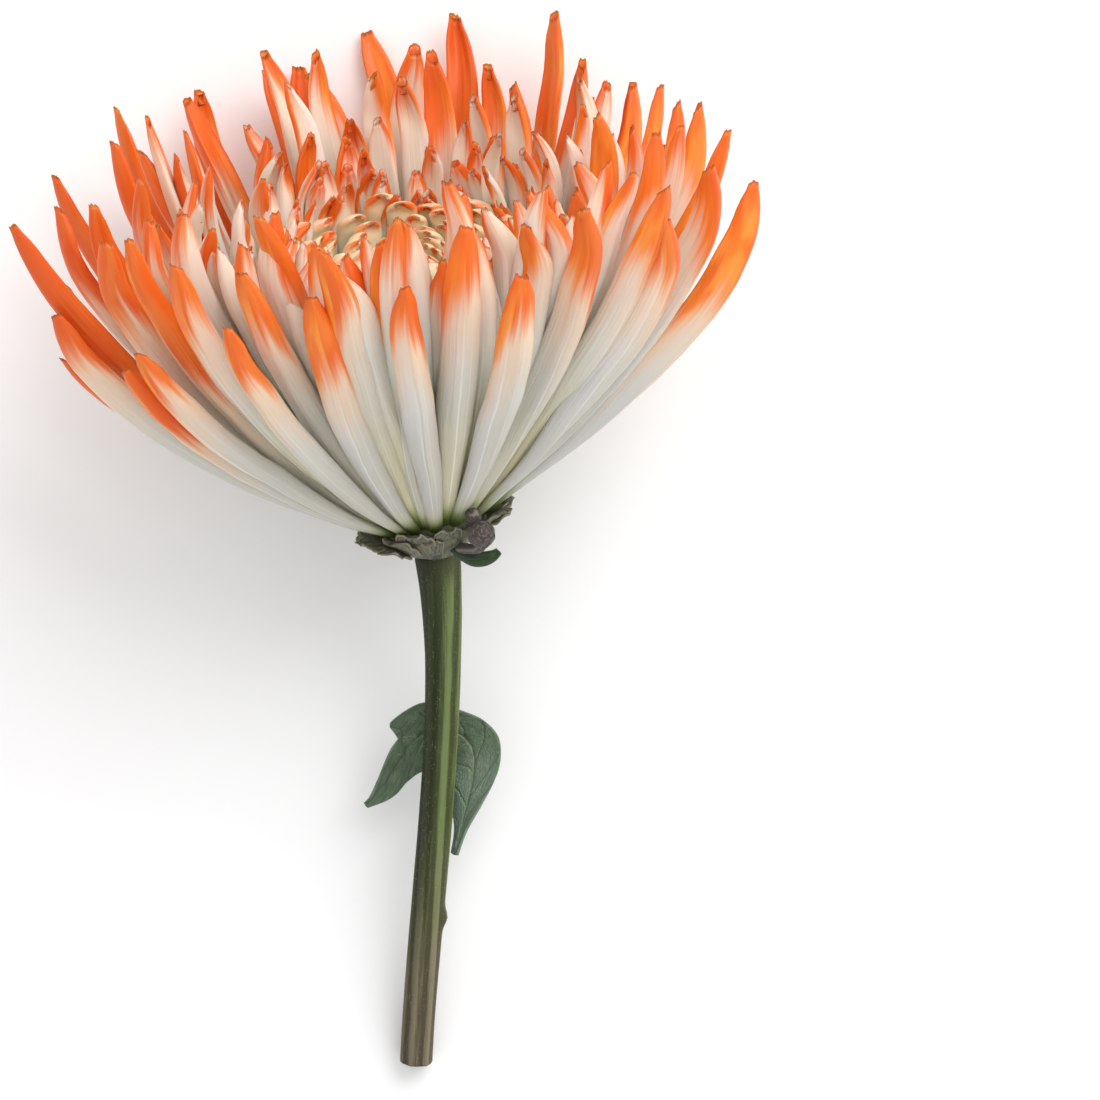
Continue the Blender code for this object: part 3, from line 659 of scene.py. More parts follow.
def end_tree(geometry, material):
    """The last nodes of a tree: smooth faces, their material and the way out."""
    smoothed = geometry.node("GeometryNodeSetShadeSmooth", None, {"Geometry": geometry})
    coloured = geometry.node("GeometryNodeSetMaterial", None, {"Geometry": smoothed, "Material": material})
    out = geometry.tree.nodes.new("NodeGroupOutput")
    geometry.tree.links.new(coloured.socket, out.inputs[0])


def gaping(number):
    """How far a floret of this number gapes at its tip, towards the axis: 0 or 1, seldom between."""
    return (number * 7.0).call("FRACT").step(0.3, 0.5)


def blade_tree():
    """Grows one closed blade on each point, along the curve that the point's attributes give."""
    inputs = {key: "Int" if key in ("Around", "Along") else "Float" for key in BLADE_INPUTS}
    tree, given = tree_with("blades", {**inputs, "Material": "Material"})
    sizes = {"Vertices": given["Around"], "Side Segments": given["Along"], "Fill Segments": 3}
    sizes.update({"Radius": 1.0, "Depth": 1.0})
    tube = tree.node("GeometryNodeMeshCylinder", {"fill_type": "TRIANGLE_FAN"}, sizes)
    x, y, z = tree.node("GeometryNodeInputPosition").parts()
    ring = tree.node("ShaderNodeVectorMath", {"operation": "LENGTH"}, {0: tree.vector(x, y, 0.0)}, 1)
    share = mix(0.62, 1.0, ring.step(0.33, 1.0)) * ring.step(0.0, 0.3)
    scale = share / ring.at_least(0.01)
    along = 1.0 - (0.5 - z) ** 1.25
    tube = tube.keep("place", tree.vector(x * scale, y * scale, along))
    tube = tube.keep("inside", ring.step(0.95, 0.3) * z.step(0.4, 0.45), "FLOAT")

    grown = tree.node("GeometryNodeInstanceOnPoints", None, {"Points": given["Geometry"], "Instance": tube})
    grown = tree.node("GeometryNodeRealizeInstances", None, {"Geometry": grown})

    x, y, t = tree.kept("place").parts()
    inside = tree.kept("inside", "FLOAT")
    points = [tree.kept(f"p{k}") for k in range(4)]
    centre, heading = bezier(points, t), bezier_heading(points, t)
    over = heading.cross(tree.kept("side")).normalized()
    across = over.cross(heading)

    bend, aside, bulb = tree.kept("tip").parts()
    number = tree.kept("look").parts()[1]
    end = t.step(0.8, 1.02)
    outline = mix(given["Root share"], 1.0, t.step(0.0, given["Broad from"]))
    ogive = ((t - given["Narrow from"]) / (1.0 - given["Narrow from"])).at_least(0.0) ** 2.0
    outline = outline * (1.0 + (given["Tip share"] - 1.0) * ogive)
    outline = outline * (1.0 + bulb * t.step(0.8, 0.92) * t.step(1.01, 0.95))
    outline = outline * (1.0 - given["Round"] * t.step(0.95, 1.0))
    waves = [tree.vector(number * 40.0, t * 3.5, layer).noise(1.0) - 0.5 for layer in (0.0, 9.0)]
    waver, waver_side = [wave * given["Wobble"] for wave in waves]
    free = t.step(0.1, 0.6)

    valley = 0.0
    for name in ("fold_a", "fold_b"):
        fold_x, fold_y, depth = tree.kept(name).parts()
        valley = (x * fold_x + y * fold_y).step(0.8, 1.0) * depth + valley
    valley = valley * t.step(0.02, 0.25) * t.step(0.97, 0.78)
    crest_at, steep, second_at = tree.kept("keel").parts()
    ridge = abs(x - crest_at) * steep * t.step(0.04, 0.3) * t.step(1.15, 0.8)
    ridge = ridge + abs(x - second_at) * steep * 0.6 * t.step(0.2, 0.5) * t.step(1.1, 0.85)
    half_width = tree.kept("width", "FLOAT") * outline * 0.5
    half_thick = tree.kept("thick", "FLOAT") * outline * 0.5 * mix(1.0, 1.25, t.step(0.4, 0.0))

    ragged = tree.vector(x * 2.4 + number * 31.0, y * 2.4, 0.0).noise(2.0, 1.0) - 0.4
    rim = (1.0 - inside) * t.step(0.93, 1.0) * (x * x + y * y).step(0.3, 0.6)
    frill = (tree.vector(number * 23.0, t * 2.6, x).noise(1.4) - 0.5) * given["Ruffle"]
    frill = frill * x * x * t.step(0.15, 0.6)
    gape = gaping(number) * y.step(0.0, 0.6) * abs(x).step(0.8, 0.3) * t.step(0.84, 0.97)
    wide = x * half_width
    deep = y * half_thick * (1.0 - valley) - gape * half_thick * 1.3 + ridge * half_width
    turn = tree.kept("twist", "FLOAT") * t.step(0.12, 0.65)
    cosine, sine = turn.call("COSINE"), turn.call("SINE")
    lift = wide * sine + deep * cosine + bend * end * end + frill + waver * free
    shift = wide * cosine - deep * sine + aside * end * end + waver_side * free
    slant = x * (number - 0.5) * 1.4 - y * (number * 13.0).call("FRACT")
    slant = slant * given["Slant"] * t.step(0.88, 1.0)
    reach = given["Teeth"] * ragged * rim + slant - given["Mouth"] * inside
    target = centre + across * shift + over * lift + heading * reach
    x, y, z = target.parts()
    target = tree.vector(x, y, z.at_least(0.0001))
    grown = tree.node("GeometryNodeSetPosition", None, {"Geometry": grown, "Position": target})
    end_tree(grown, given["Material"])
    return tree.tree


def fuzz_tree():
    """Scatters short hairs over a surface, each leaning a little."""
    inputs = {"Density": "Float", "Length": "Float", "Radius": "Float", "Seed": "Int", "Material": "Material"}
    tree, given = tree_with("fuzz", inputs)
    scattered = {"Mesh": given["Geometry"], "Density": given["Density"], "Seed": given["Seed"]}
    points = tree.node("GeometryNodeDistributePointsOnFaces", None, scattered)
    ends = {0: (-0.7,) * 3, 1: (0.7,) * 3, "Seed": 5}
    stray = tree.node("FunctionNodeRandomValue", {"data_type": "FLOAT_VECTOR"}, ends)
    points = points.keep("lean", tree.node("GeometryNodeInputNormal") + stray)
    turned = tree.node("FunctionNodeAlignRotationToVector", {"axis": "Z"}, {"Vector": tree.kept("lean")})
    size = tree.node("FunctionNodeRandomValue", {"data_type": "FLOAT"}, {2: 0.5, 3: 1.2, "Seed": 9}, 1)
    cone = {"Vertices": 3, "Radius Top": 0.0, "Radius Bottom": given["Radius"], "Depth": given["Length"]}
    hair = tree.node("GeometryNodeMeshCone", {"fill_type": "TRIANGLE_FAN"}, cone)
    hairs = {"Points": points, "Instance": hair, "Rotation": turned, "Scale": size}
    grown = tree.node("GeometryNodeInstanceOnPoints", None, hairs)
    end_tree(tree.node("GeometryNodeRealizeInstances", None, {"Geometry": grown}), given["Material"])
    return tree.tree


# Materials


def material(name, roughness, specular=0.5, sheen=0.0, soft=0.0):
    """A new material with its shader, and a wire to start its expressions from."""
    made = bpy.data.materials.new(name)
    made.use_nodes = True
    shader = made.node_tree.nodes["Principled BSDF"]
    values = {"Roughness": roughness, "Specular IOR Level": specular, "Sheen Weight": sheen}
    values.update({"Subsurface Weight": soft, "Subsurface Scale": 1.5 * MM})
    values["Subsurface Radius"] = (1.0, 0.75, 0.5)
    for key, value in values.items():
        shader.inputs[key].default_value = value
    return made, shader, Wire(made.node_tree)


def own(start, name):
    """The three numbers that the surface holds under this name."""
    return start.node("ShaderNodeAttribute", {"attribute_name": name}, None, 1).parts()


def here(start):
    """The place of a point of the surface, in metres."""
    return start.node("ShaderNodeTexCoord", None, None, 3)


def feed(shader, colour, relief=None, distance=0.0, roughness=None):
    """Links a colour, a relief as high as distance in metres, and a roughness to the shader."""
    links = colour.tree.links
    links.new(colour.socket, shader.inputs["Base Color"])
    if relief:
        bump = relief.node("ShaderNodeBump", None, {"Strength": 1.0, "Distance": distance, "Height": relief})
        links.new(bump.socket, shader.inputs["Normal"])
    if roughness:
        links.new(roughness.socket, shader.inputs["Roughness"])


WHITE = (0.87, 0.86, 0.83, 1)
HEART_WHITE = (0.88, 0.80, 0.53, 1)
PAINTED_LIGHT_WHITE = (0.94, 0.93, 0.91, 1)
SHADE = (0.52, 0.51, 0.47, 1)
WARM_SHADE = (0.56, 0.51, 0.37, 1)
VEIN_GREY = (0.62, 0.63, 0.60, 1)
HIGHLIGHT_SILVER = (0.93, 0.94, 0.94, 1)
CREAM = (0.86, 0.82, 0.62, 1)
BUFF_AND_SHADE = (0.76, 0.70, 0.36, 1)
LIME = (0.50, 0.54, 0.16, 1)
SAP = (0.10, 0.15, 0.02, 1)
PEACH = (0.93, 0.56, 0.30, 1)
LIT_ORANGE = (0.99, 0.34, 0.045, 1)
ORANGE = (0.96, 0.205, 0.012, 1)
DEEP_ORANGE = (0.70, 0.072, 0.004, 1)
SCORCHED = (0.36, 0.022, 0.003, 1)
BRACT_COLOURS = ((0.014, 0.017, 0.007, 1), (0.205, 0.205, 0.120, 1), (0.36, 0.30, 0.20, 1))
BUD_COLOURS = ((0.042, 0.030, 0.030, 1), (0.120, 0.090, 0.080, 1), (0.25, 0.21, 0.16, 1))
CRESCENT_COLOURS = ((0.006, 0.020, 0.004, 1), (0.030, 0.080, 0.012, 1), (0.05, 0.10, 0.03, 1))


def petal(name, white, base_to):
    """Petal skin, dyed from its tip down in streaks; the deeper orange at the bloom's left rim is part dye,
    part painted shade.
    """
    made, shader, start = material(name, 0.45, specular=0.4, soft=0.15)
    x, y, t = own(start, "place")
    dye, number, age = own(start, "look")
    crest_at, steep, second_at = own(start, "keel")
    keeled = steep.step(0.05, 0.3) * t.step(0.04, 0.2)
    # Painted shade on one side of the first keel, and painted highlight lines along both crests
    shaded_facet = (x - crest_at).step(-0.05, 0.05) * keeled
    crest_highlight = abs(x - crest_at).step(0.08, 0.0) * keeled + abs(x - second_at).step(0.05, 0.0) * keeled * 0.5
    veins = start.vector(x * 2.4 + number * 57.0, y * 2.4, t * 1.1).noise(2.6, 3.0, 0.6)
    broad = start.vector(x + number * 31.0, y, t * 2.0).noise(1.5, 2.0)
    patch = start.vector(x * 0.8 + number * 91.0, y * 0.8, t * 5.0).noise(1.6, 2.0)
    fine = start.vector(x * 9.0 + number * 11.0, y * 9.0, t * 2.0).noise(2.0, 2.0)

    # How far each shade of the dye has gone: a faint halo, orange, deep orange and the scorched rim
    edges = abs(x).step(0.55, 1.0) * 0.06 + x * (number - 0.5) * 0.24
    reach = t + (veins - 0.5) * 0.12 + (broad - 0.5) * 0.2 + edges
    halo = reach.step(dye - 0.28, dye + 0.05)
    dyed = reach.step(dye - 0.03, dye + 0.1)
    rich = (number * 5.0).call("FRACT").step(0.5, 0.8)
    deep = reach.step(dye + 0.05, dye + 0.24) * broad.step(0.36, 0.6) * mix(0.55, 0.95, rich)
    section = x * x + y * y
    mouth = section.step(0.8, 0.3) * t.step(0.96, 1.0)
    deep = deep.at_least(t.step(0.9, 0.985) * 0.7).at_least(mouth) * 0.8
    # Deeper orange towards the bloom's left rim, partly dye and partly painted shade; the deeper orange on
    # the shaded facet is painted shade
    left_rim_dye_and_shade = (here(start).parts()[0] / MM).step(-36.0, -55.0)
    deep = deep.at_least(shaded_facet * 0.55).at_least(left_rim_dye_and_shade * 0.75)
    lips = gaping(number) * (y.step(0.1, 0.35) * y.step(0.85, 0.6)) * t.step(0.88, 0.97)
    burnt = ((t + (veins - 0.5) * 0.02).step(0.99, 1.0) * section.step(0.75, 0.97)).at_least(lips * 0.35)

    # Painted light: the inner florets are painted paler than the outer ones
    body = (age.step(0.15, 0.6) * 0.8).tint(white, PAINTED_LIGHT_WHITE)
    body = (age.step(0.2, 1.0) * 0.35).tint(body, CREAM)
    # Painted shade: greyer towards the base, where the florets overlap. The buff at the bases of the inner
    # florets is partly their own tone and partly painted shade in the gaps
    body = (t.step(0.92, 0.3) * 0.8).tint(body, SHADE)
    body = (t.step(0.75, 0.2) * age.step(0.04, 0.3) * 0.85).tint(body, BUFF_AND_SHADE)
    # Painted shade on one side of the keel and painted highlight lines along the crests
    body = (shaded_facet * 0.36).tint(body, WARM_SHADE)
    body = (crest_highlight * 0.55).tint(body, HIGHLIGHT_SILVER)
    body = t.step(base_to, 0.0).tint(body, LIME)
    body = (t + (number - 0.5) * 0.06).step(0.14, 0.04).tint(body, SAP)
    body = (veins.step(0.4, 0.7) * 0.07).tint(body, VEIN_GREY)
    colour = (halo * mix(0.66, 0.26, age)).tint(body, PEACH)
    colour = dyed.tint(colour, (patch.step(0.4, 0.62) * mix(0.9, 0.25, rich)).tint(ORANGE, LIT_ORANGE))
    colour = (dyed * deep).tint(colour, DEEP_ORANGE)
    colour = (burnt * 0.65).tint(colour, SCORCHED)
    relief = (veins * 0.6 + fine * 0.4) * t.step(0.93, 0.72)
    feed(shader, colour, relief, 0.35 * MM, (dyed * -0.05 + 0.46) + (fine - 0.5) * 0.15)
    return made


def greenery(name, colours, roughness=0.55):
    """Skin of a bract or bud scale: streaked lengthwise from dark to light, with a paler dry edge."""
    dark, light, edge = colours
    made, shader, start = material(name, roughness, sheen=0.1)
    x, y, t = own(start, "place")
    number = own(start, "look")[1]
    streaks = start.vector(x * 3.0 + number * 43.0, y * 3.0, t * 1.6).noise(2.4, 3.0, 0.6)
    blotch = start.vector(x + number * 17.0, y, t * 3.0).noise(1.7, 2.0)
    rim = abs(x).step(0.8, 1.0).at_least(t.step(0.92, 1.0))
    colour = streaks.step(0.3, 0.7).tint(dark, light)
    colour = ((rim + (blotch - 0.5) * 0.9).step(0.4, 0.9) * 0.8).tint(colour, edge)
    feed(shader, colour, streaks + blotch * 0.5, 0.3 * MM)
    return made


def stem_skin():
    """Stem skin: pale and dark green stripes between the ribs, browner towards the cut end, with painted
    shade down one side.
    """
    made, shader, start = material("stem_skin", 0.6, specular=0.2)
    x, y, t = own(start, "place")
    rib, _, cut = own(start, "look")
    streaks = start.vector(x * 2.2, y * 2.2, t * 5.0).noise(2.5, 4.0, 0.65)
    grain = start.vector(x * 8.0, y * 8.0, t * 30.0).noise(2.0, 2.0)
    hairline = start.vector(x * 7.0, y * 7.0, t * 4.0).noise(2.5, 2.0)
    stripe = (rib * 0.3 + streaks * 0.7 + hairline * 0.5).step(0.35, 0.95)
    green = stripe.tint((0.050, 0.066, 0.018, 1), (0.165, 0.215, 0.078, 1))
    brown = stripe.tint((0.080, 0.062, 0.038, 1), (0.235, 0.195, 0.125, 1))
    colour = (t + (streaks - 0.5) * 0.5).step(0.45, 0.95).tint(green, brown)
    # Darker at the very top, where the stem goes into the cup
    colour = mix(0.3, 1.0, t.step(0.0, 0.05)).tint((0.06, 0.06, 0.03, 1), colour)
    # Painted shade: one side of the stem darkened almost to black, less so towards the cut end
    painted_shade_side = x.step(-0.15, 0.55) * (1.0 - t.step(0.5, 0.9) * 0.7) * 0.85
    colour = painted_shade_side.tint(colour, (0.010, 0.011, 0.004, 1))
    colour = (grain.step(0.62, 0.75) * 0.35).tint(colour, (0.28, 0.29, 0.18, 1))
    pith = cut.step(0.2, 0.95).tint((0.10, 0.13, 0.05, 1), (0.52, 0.50, 0.36, 1))
    feed(shader, cut.step(0.001, 0.02).tint(colour, pith), streaks + grain * 0.5, 0.25 * MM)
    return made


def leaf_skin():
    """Leaf skin: dark blue-green with a painted grey sheen on its first rows, at the stem's right, and pale
    veins from the midrib to the edge.
    """
    made, shader, start = material("leaf_skin", 0.42, sheen=0.15)
    u, v, painted_sheen = own(start, "place")
    spread = abs(u)
    cloud = start.vector(u * 2.0, v * 9.0, 0.0).noise(1.6, 3.0, 0.6)
    wave = v * 9.0 - spread * 1.15 + (cloud - 0.5) * 0.35 + u.step(-0.01, 0.01) * 0.4
    side_vein = abs(wave.call("FRACT") - 0.5).step(0.1, 0.0)
    rib = spread.step(0.075, 0.0)
    cells = {"Vector": start.vector(u * 7.0, v * 34.0, 2.0), "Scale": 1.3}
    net = start.node("ShaderNodeTexVoronoi", {"feature": "DISTANCE_TO_EDGE"}, cells).step(0.12, 0.0)
    colour = cloud.step(0.3, 0.7).tint((0.052, 0.092, 0.042, 1), (0.115, 0.180, 0.095, 1))
    # Painted sheen: grey-blue over the first rows of the leaf, at the stem's right
    colour = (painted_sheen * 0.45).tint(colour, (0.21, 0.28, 0.22, 1))
    colour = (net * 0.2).tint(colour, (0.13, 0.19, 0.11, 1))
    colour = (side_vein * spread.step(1.0, 0.2) * 0.55).tint(colour, (0.22, 0.31, 0.17, 1))
    colour = (rib * 0.8).tint(colour, (0.33, 0.40, 0.23, 1))
    feed(shader, colour, cloud * 0.3 - side_vein * 0.5 - net * 0.15 - rib * 0.6, 0.5 * MM)
    return made


def fuzz_skin():
    """Hairs in pale and darker green."""
    made, shader, start = material("fuzz_skin", 0.6, sheen=0.3)
    feed(shader, here(start).noise(400.0).tint((0.24, 0.29, 0.13, 1), (0.42, 0.45, 0.27, 1)))
    return made


def floor_skin():
    """A matt pale table top with a faint grain."""
    made, shader, start = material("table_top", 0.6)
    feed(shader, here(start).noise(900.0, 3.0).tint((0.965, 0.965, 0.965, 1), (0.975, 0.975, 0.975, 1)))
    return made


# Making pieces


def placed(name, data):
    """A new object of the scene."""
    made = bpy.data.objects.new(name, data)
    bpy.context.scene.collection.objects.link(made)
    return made


def plain(piece):
    """Turns what a piece's modifiers make into its own mesh."""
    seen = piece.evaluated_get(bpy.context.evaluated_depsgraph_get())
    mesh = bpy.data.meshes.new_from_object(seen)
    piece.modifiers.clear()
    piece.data = mesh


def grow(name, source, tree, values):
    """The plain object that a tree makes from a mesh."""
    made = placed(name, source)
    modifier = made.modifiers.new("grow", "NODES")
    modifier.node_group = tree
    for item in tree.interface.items_tree:
        if item.in_out == "INPUT" and item.name in values:
            modifier[item.identifier] = values[item.name]
    plain(made)
    return made


def finished(piece, node):
    """Attaches a piece to the root body and hides the solid that it stands in for."""
    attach(piece, "root")
    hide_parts(node)


def store(mesh, name, rows):
    """Gives each point of a mesh three numbers under a name."""
    mesh.attributes.new(name, "FLOAT_VECTOR", "POINT").data.foreach_set("vector", np.ravel(rows))


BLADES = blade_tree()
SPARE = ("p0", "p1", "p2", "p3", "side", "tip", "fold_a", "fold_b", "width", "thick", "twist")
NO_FOLDS = ((0, -1, 0), (0, -1, 0), (0, 0, 0))


def grow_blades(name, kind, skin, blades, looks, tips, folds=None):
    """An object of many blades of one kind.

    Each has its look (dye, number, age), its tip (bend, aside, bulb) and its folds: two creases and a keel.
    """
    folds = folds or [NO_FOLDS] * len(blades)
    points = bpy.data.meshes.new(name)
    points.from_pydata([(0, 0, 0)] * len(blades), [], [])
    vectors = {f"p{k}": [blade.points[k] for blade in blades] for k in range(4)}
    vectors.update(side=[blade.side for blade in blades], look=looks, tip=tips)
    vectors.update(zip(("fold_a", "fold_b", "keel"), zip(*folds)))
    for key, rows in vectors.items():
        store(points, key, rows)
    for key in ("width", "thick", "twist"):
        numbers = [getattr(blade, key) for blade in blades]
        points.attributes.new(key, "FLOAT", "POINT").data.foreach_set("value", numbers)
    made = grow(name, points, BLADES, dict(zip(BLADE_INPUTS, KINDS[kind]), Material=skin))
    for key in SPARE:
        made.data.attributes.remove(made.data.attributes[key])
    return made


def object_from(name, bm, skin):
    """The object of a mesh that is made by hand."""
    bmesh.ops.recalc_face_normals(bm, faces=bm.faces)
    mesh = bpy.data.meshes.new(name)
    bm.to_mesh(mesh)
    bm.free()
    mesh.materials.append(skin)
    mesh.shade_smooth()
    return placed(name, mesh)


def blotched(piece, x, scale, look):
    """Lets a piece without blades take a blade's skin, at one x of its section and this scale."""
    points = [vert.co for vert in piece.data.vertices]
    store(piece.data, "place", [(x, p.x * scale, p.y * scale) for p in points])
    store(piece.data, "look", [look] * len(points))


def turned(name, profile, sides, skin):
    """A shape turned about the head's axis and skewed with it. profile runs from its top to its bottom."""
    bm = bmesh.new()
    points = [bm.verts.new((r * MM, 0, z * MM)) for r, z in profile]
    edges = [bm.edges.new(pair) for pair in zip(points, points[1:])]
    bmesh.ops.spin(bm, geom=points + edges, cent=(0, 0, 0), axis=(0, 0, 1), angle=2 * pi, steps=sides)
    bmesh.ops.remove_doubles(bm, verts=bm.verts, dist=0.01 * MM)
    for vert in bm.verts:
        x, y, z = vert.co
        vert.co = HEAD @ Vector((x, y, skewed(atan2(y, x), hypot(x, y), z)))
    return object_from(name, bm, skin)


def crease(degrees, depth):
    """A lengthwise crease of the blade's skin, this far round its section."""
    return (cos(radians(degrees)), sin(radians(degrees)), depth)


def keel(draw):
    """Where the first crest of a floret runs, how steep the crests are, and where the second runs."""
    return draw.uniform(*CREST_PLACE), draw.uniform(*CREST_STEEPNESS), draw.uniform(*SECOND_CREST)


def long_florets(name, numbers, skin):
    """Some of the long florets, dyed further down the further out they stand."""
    blades, looks, tips, folds = [], [], [], []
    for index in numbers:
        blade = ray_floret(index)
        slim = RAY_SLIM * mix(1.0, RAY_SLIM_INNER, smooth(0.3, 0.9, index / RAY_COUNT))
        blades.append(blade._replace(width=blade.width * slim))
        draw = Draw(RAY_LOOK_SEED + index)
        age = index / (RAY_COUNT - 1)
        azimuth = radians(index * GOLDEN_ANGLE)
        left, back = max(0.0, -cos(azimuth)), max(0.0, sin(azimuth))
        start = mix(*RAY_DYE, smooth(0.04, 0.5, age)) + 0.03 * upper_side(azimuth) * (1 - age)
        start -= (0.09 * left + 0.1 * back) * (1 - age) ** 2
        start += draw.uniform(-0.07, 0.05) - 0.14 * (draw.random() > 0.88)
        looks.append((start, draw.random(), age))
        bend = draw.uniform(mix(0.5, -1.2, smooth(0.0, 0.3, age)), 3.8) * MM
        aside = draw.stray(2.8) * MM
        tips.append((bend, aside, draw.uniform(0.0, 0.25) * smooth(0.4, 0.9, age)))
        first, second = [-90 + draw.uniform(*turn) for turn in (CREASE_LEFT, CREASE_RIGHT)]
        inner = 90 + draw.stray(CREASE_INNER)
        creases = [crease(first, draw.uniform(*CREASE_DEPTH))]
        creases.append(crease(draw.choice((second, inner)), draw.uniform(*CREASE_DEPTH)))
        folds.append((*creases, keel(draw)))
    finished(grow_blades(name, "long", skin, blades, looks, tips, folds), "ray_florets")


def low_florets(skin):
    """The shorter florets under the lowest row."""
    looks, tips, folds = [], [], []
    for index in range(LOW_COUNT):
        draw = Draw(LOW_LOOK_SEED + index)
        looks.append((draw.uniform(*LOW_DYE), draw.random(), 0.0))
        tips.append((draw.uniform(-1.0, 2.5) * MM, draw.stray(1.5) * MM, 0.0))
        creases = [crease(-90 + draw.uniform(*turn), LOW_CREASE) for turn in (CREASE_LEFT, CREASE_RIGHT)]
        folds.append((*creases, keel(draw)))
    blades = [low_floret(index) for index in range(LOW_COUNT)]
    florets = grow_blades("low_florets", "long", skin, blades, looks, tips, folds)
    finished(florets, "ray_florets")


def young_florets(skin):
    """The ring of young florets round the heart."""
    looks, tips = [], []
    for index in range(YOUNG_COUNT):
        draw = Draw(YOUNG_LOOK_SEED + index)
        start = YOUNG_DYE + draw.uniform(-0.05, 0.03)
        looks.append((start, draw.random(), mix(0.5, 1.0, index / YOUNG_COUNT)))
        tips.append((draw.uniform(-0.5, 2.0) * MM, draw.stray(1.2) * MM, draw.uniform(0.0, 0.25)))
    blades = [young_floret(index) for index in range(YOUNG_COUNT)]
    florets = grow_blades("young_florets", "young", skin, blades, looks, tips)
    finished(florets, "ray_florets")


def build_rays():
    """All the florets round the heart."""
    skin = petal("petal_skin", WHITE, 0.2)
    long_florets("long_florets_outer", range(RAY_OUTER), skin)
    long_florets("long_florets_inner", range(RAY_OUTER, RAY_COUNT), skin)
    low_florets(skin)
    young_florets(skin)


def build_heart():
    """The heart: the florets of the solids, with smaller ones between them, round a green core."""
    skin = petal("heart_petal_skin", HEART_WHITE, 0.55)
    blades = [heart_floret(index) for index in range(HEART_COUNT)]
    blades = [b._replace(width=b.width * HEART_BROADER, thick=b.thick * HEART_THINNER) for b in blades]
    blades += [small_heart_floret(index) for index in range(SMALL_COUNT)]
    looks, tips = [], []
    for index in range(len(blades)):
        draw = Draw(HEART_LOOK_SEED + index)
        looks.append((1.0 + draw.uniform(-0.06, 0.03), draw.random(), draw.uniform(0.1, 0.25)))
        tips.append((draw.uniform(0.0, 0.8) * MM, draw.stray(0.5) * MM, draw.uniform(0.0, 0.15)))
    florets = grow_blades("short_florets", "short", skin, blades, looks, tips)
    finished(florets, "heart_florets")
    core = turned("heart_core", HEART_CORE, 32, skin)
    count = len(core.data.vertices)
    store(core.data, "place", [(0.5, 0.5, 0.1)] * count)
    store(core.data, "look", [(2.0, 0.3, 0.9)] * count)
    finished(core, "heart_florets")


def build_cup():
    """The green cup with its bracts, and the receptacle inside it."""
    skin = greenery("bract_skin", BRACT_COLOURS)
    blades, looks, tips = [], [], []
    for index in range(BRACT_COUNT):
        blade = bract(index)
        if blade:
            draw = Draw(BRACT_LOOK_SEED + index)
            blades.append(blade)
            looks.append((0.9, draw.random(), index / BRACT_COUNT))
            tips.append((draw.stray(0.4) * MM, draw.stray(0.5) * MM, 0.0))
    finished(grow_blades("bracts", "bract", skin, blades, looks, tips), "involucre")
    cup = turned("cup", CUP_INSIDE + CUP_OUTSIDE, 48, skin)
    blotched(cup, 0.3, 60, (0.9, 0.6, 0.5))
    finished(cup, "involucre")
    button = turned("receptacle", RECEPTACLE, 40, skin)
    blotched(button, 0.3, 60, (0.9, 0.2, 0.5))
    finished(button, "ray_florets")


def stem_ring(points, t):
    """A ring of the stem's skin with its ribs: points, places and looks."""
    heading = bezier_heading(points, t)
    across = heading.cross(Vector((0, 0, 1))).normalized()
    over = across.cross(heading)
    rows = []
    for k in range(STEM_SIDES):
        turn = 2 * pi * k / STEM_SIDES
        twist = turn + 0.25 * sin(5 * t)
        rib = sum(share * cos(count * twist + wander * t) for count, share, wander in STEM_RIBS)
        radius = stem_radius(t) * (1 + STEM_RIB * rib)
        spot = bezier(points, t) + (across * cos(turn) + over * sin(turn)) * radius
        spot.z = max(spot.z, 0.05 * MM)
        rows.append((spot, (cos(turn), sin(turn), t), (rib, 0.0, 0.0)))
    return rows


def build_stem():
    """The ribbed stem with a flat cut end, the scar of a fallen leaf, and its fuzz."""
    points = stem_points()
    rows = [stem_ring(points, k / (STEM_RINGS - 1)) for k in range(STEM_RINGS)]
    inside_cup = -STEM_INTO_CUP * bezier_heading(points, 0.0)
    rows.insert(0, [(spot + inside_cup, place, look) for spot, place, look in rows[0]])
    last, middle, heading = rows[-1], bezier(points, 1.0), bezier_heading(points, 1.0)
    for share in CUT_RINGS:
        proud = heading * (CUT_PROUD if share == CUT_RINGS[0] else -CUT_HOLLOW * (1 - share))
        ring = []
        for spot, place, look in last:
            ring.append((middle + (spot - middle) * share + proud, place, (look[0], 0.0, 1.03 - share)))
        rows.append(ring)
    bm = bmesh.new()
    loops = [[bm.verts.new(spot) for spot, place, look in row] for row in rows]
    for low, high in zip(loops, loops[1:]):
        for k in range(STEM_SIDES):
            after = (k + 1) % STEM_SIDES
            bm.faces.new((low[k], low[after], high[after], high[k]))
    bm.faces.new(loops[0])
    bm.faces.new(loops[-1])
    scar = bezier(points, SCAR_PLACE) + Vector((stem_radius(SCAR_PLACE), 0, 0))
    for vert in bm.verts:
        near = vert.co - scar
        bulge = exp(-((near.x / 1.1) ** 2 + (near.y / 1.5) ** 2 + (near.z / 1.1) ** 2) / MM**2)
        vert.co.x += 0.9 * SCAR_RADIUS * bulge
    stem = object_from("ribbed_stem", bm, stem_skin())
    store(stem.data, "place", [place for row in rows for spot, place, look in row])
    store(stem.data, "look", [look for row in rows for spot, place, look in row])
    finished(stem, "stem")
    values = {"Density": 1.6e6, "Length": 0.42 * MM, "Radius": 0.022 * MM, "Seed": 12}
    fuzz = grow("stem_fuzz", stem.data.copy(), fuzz_tree(), {**values, "Material": fuzz_skin()})
    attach(fuzz, "root")


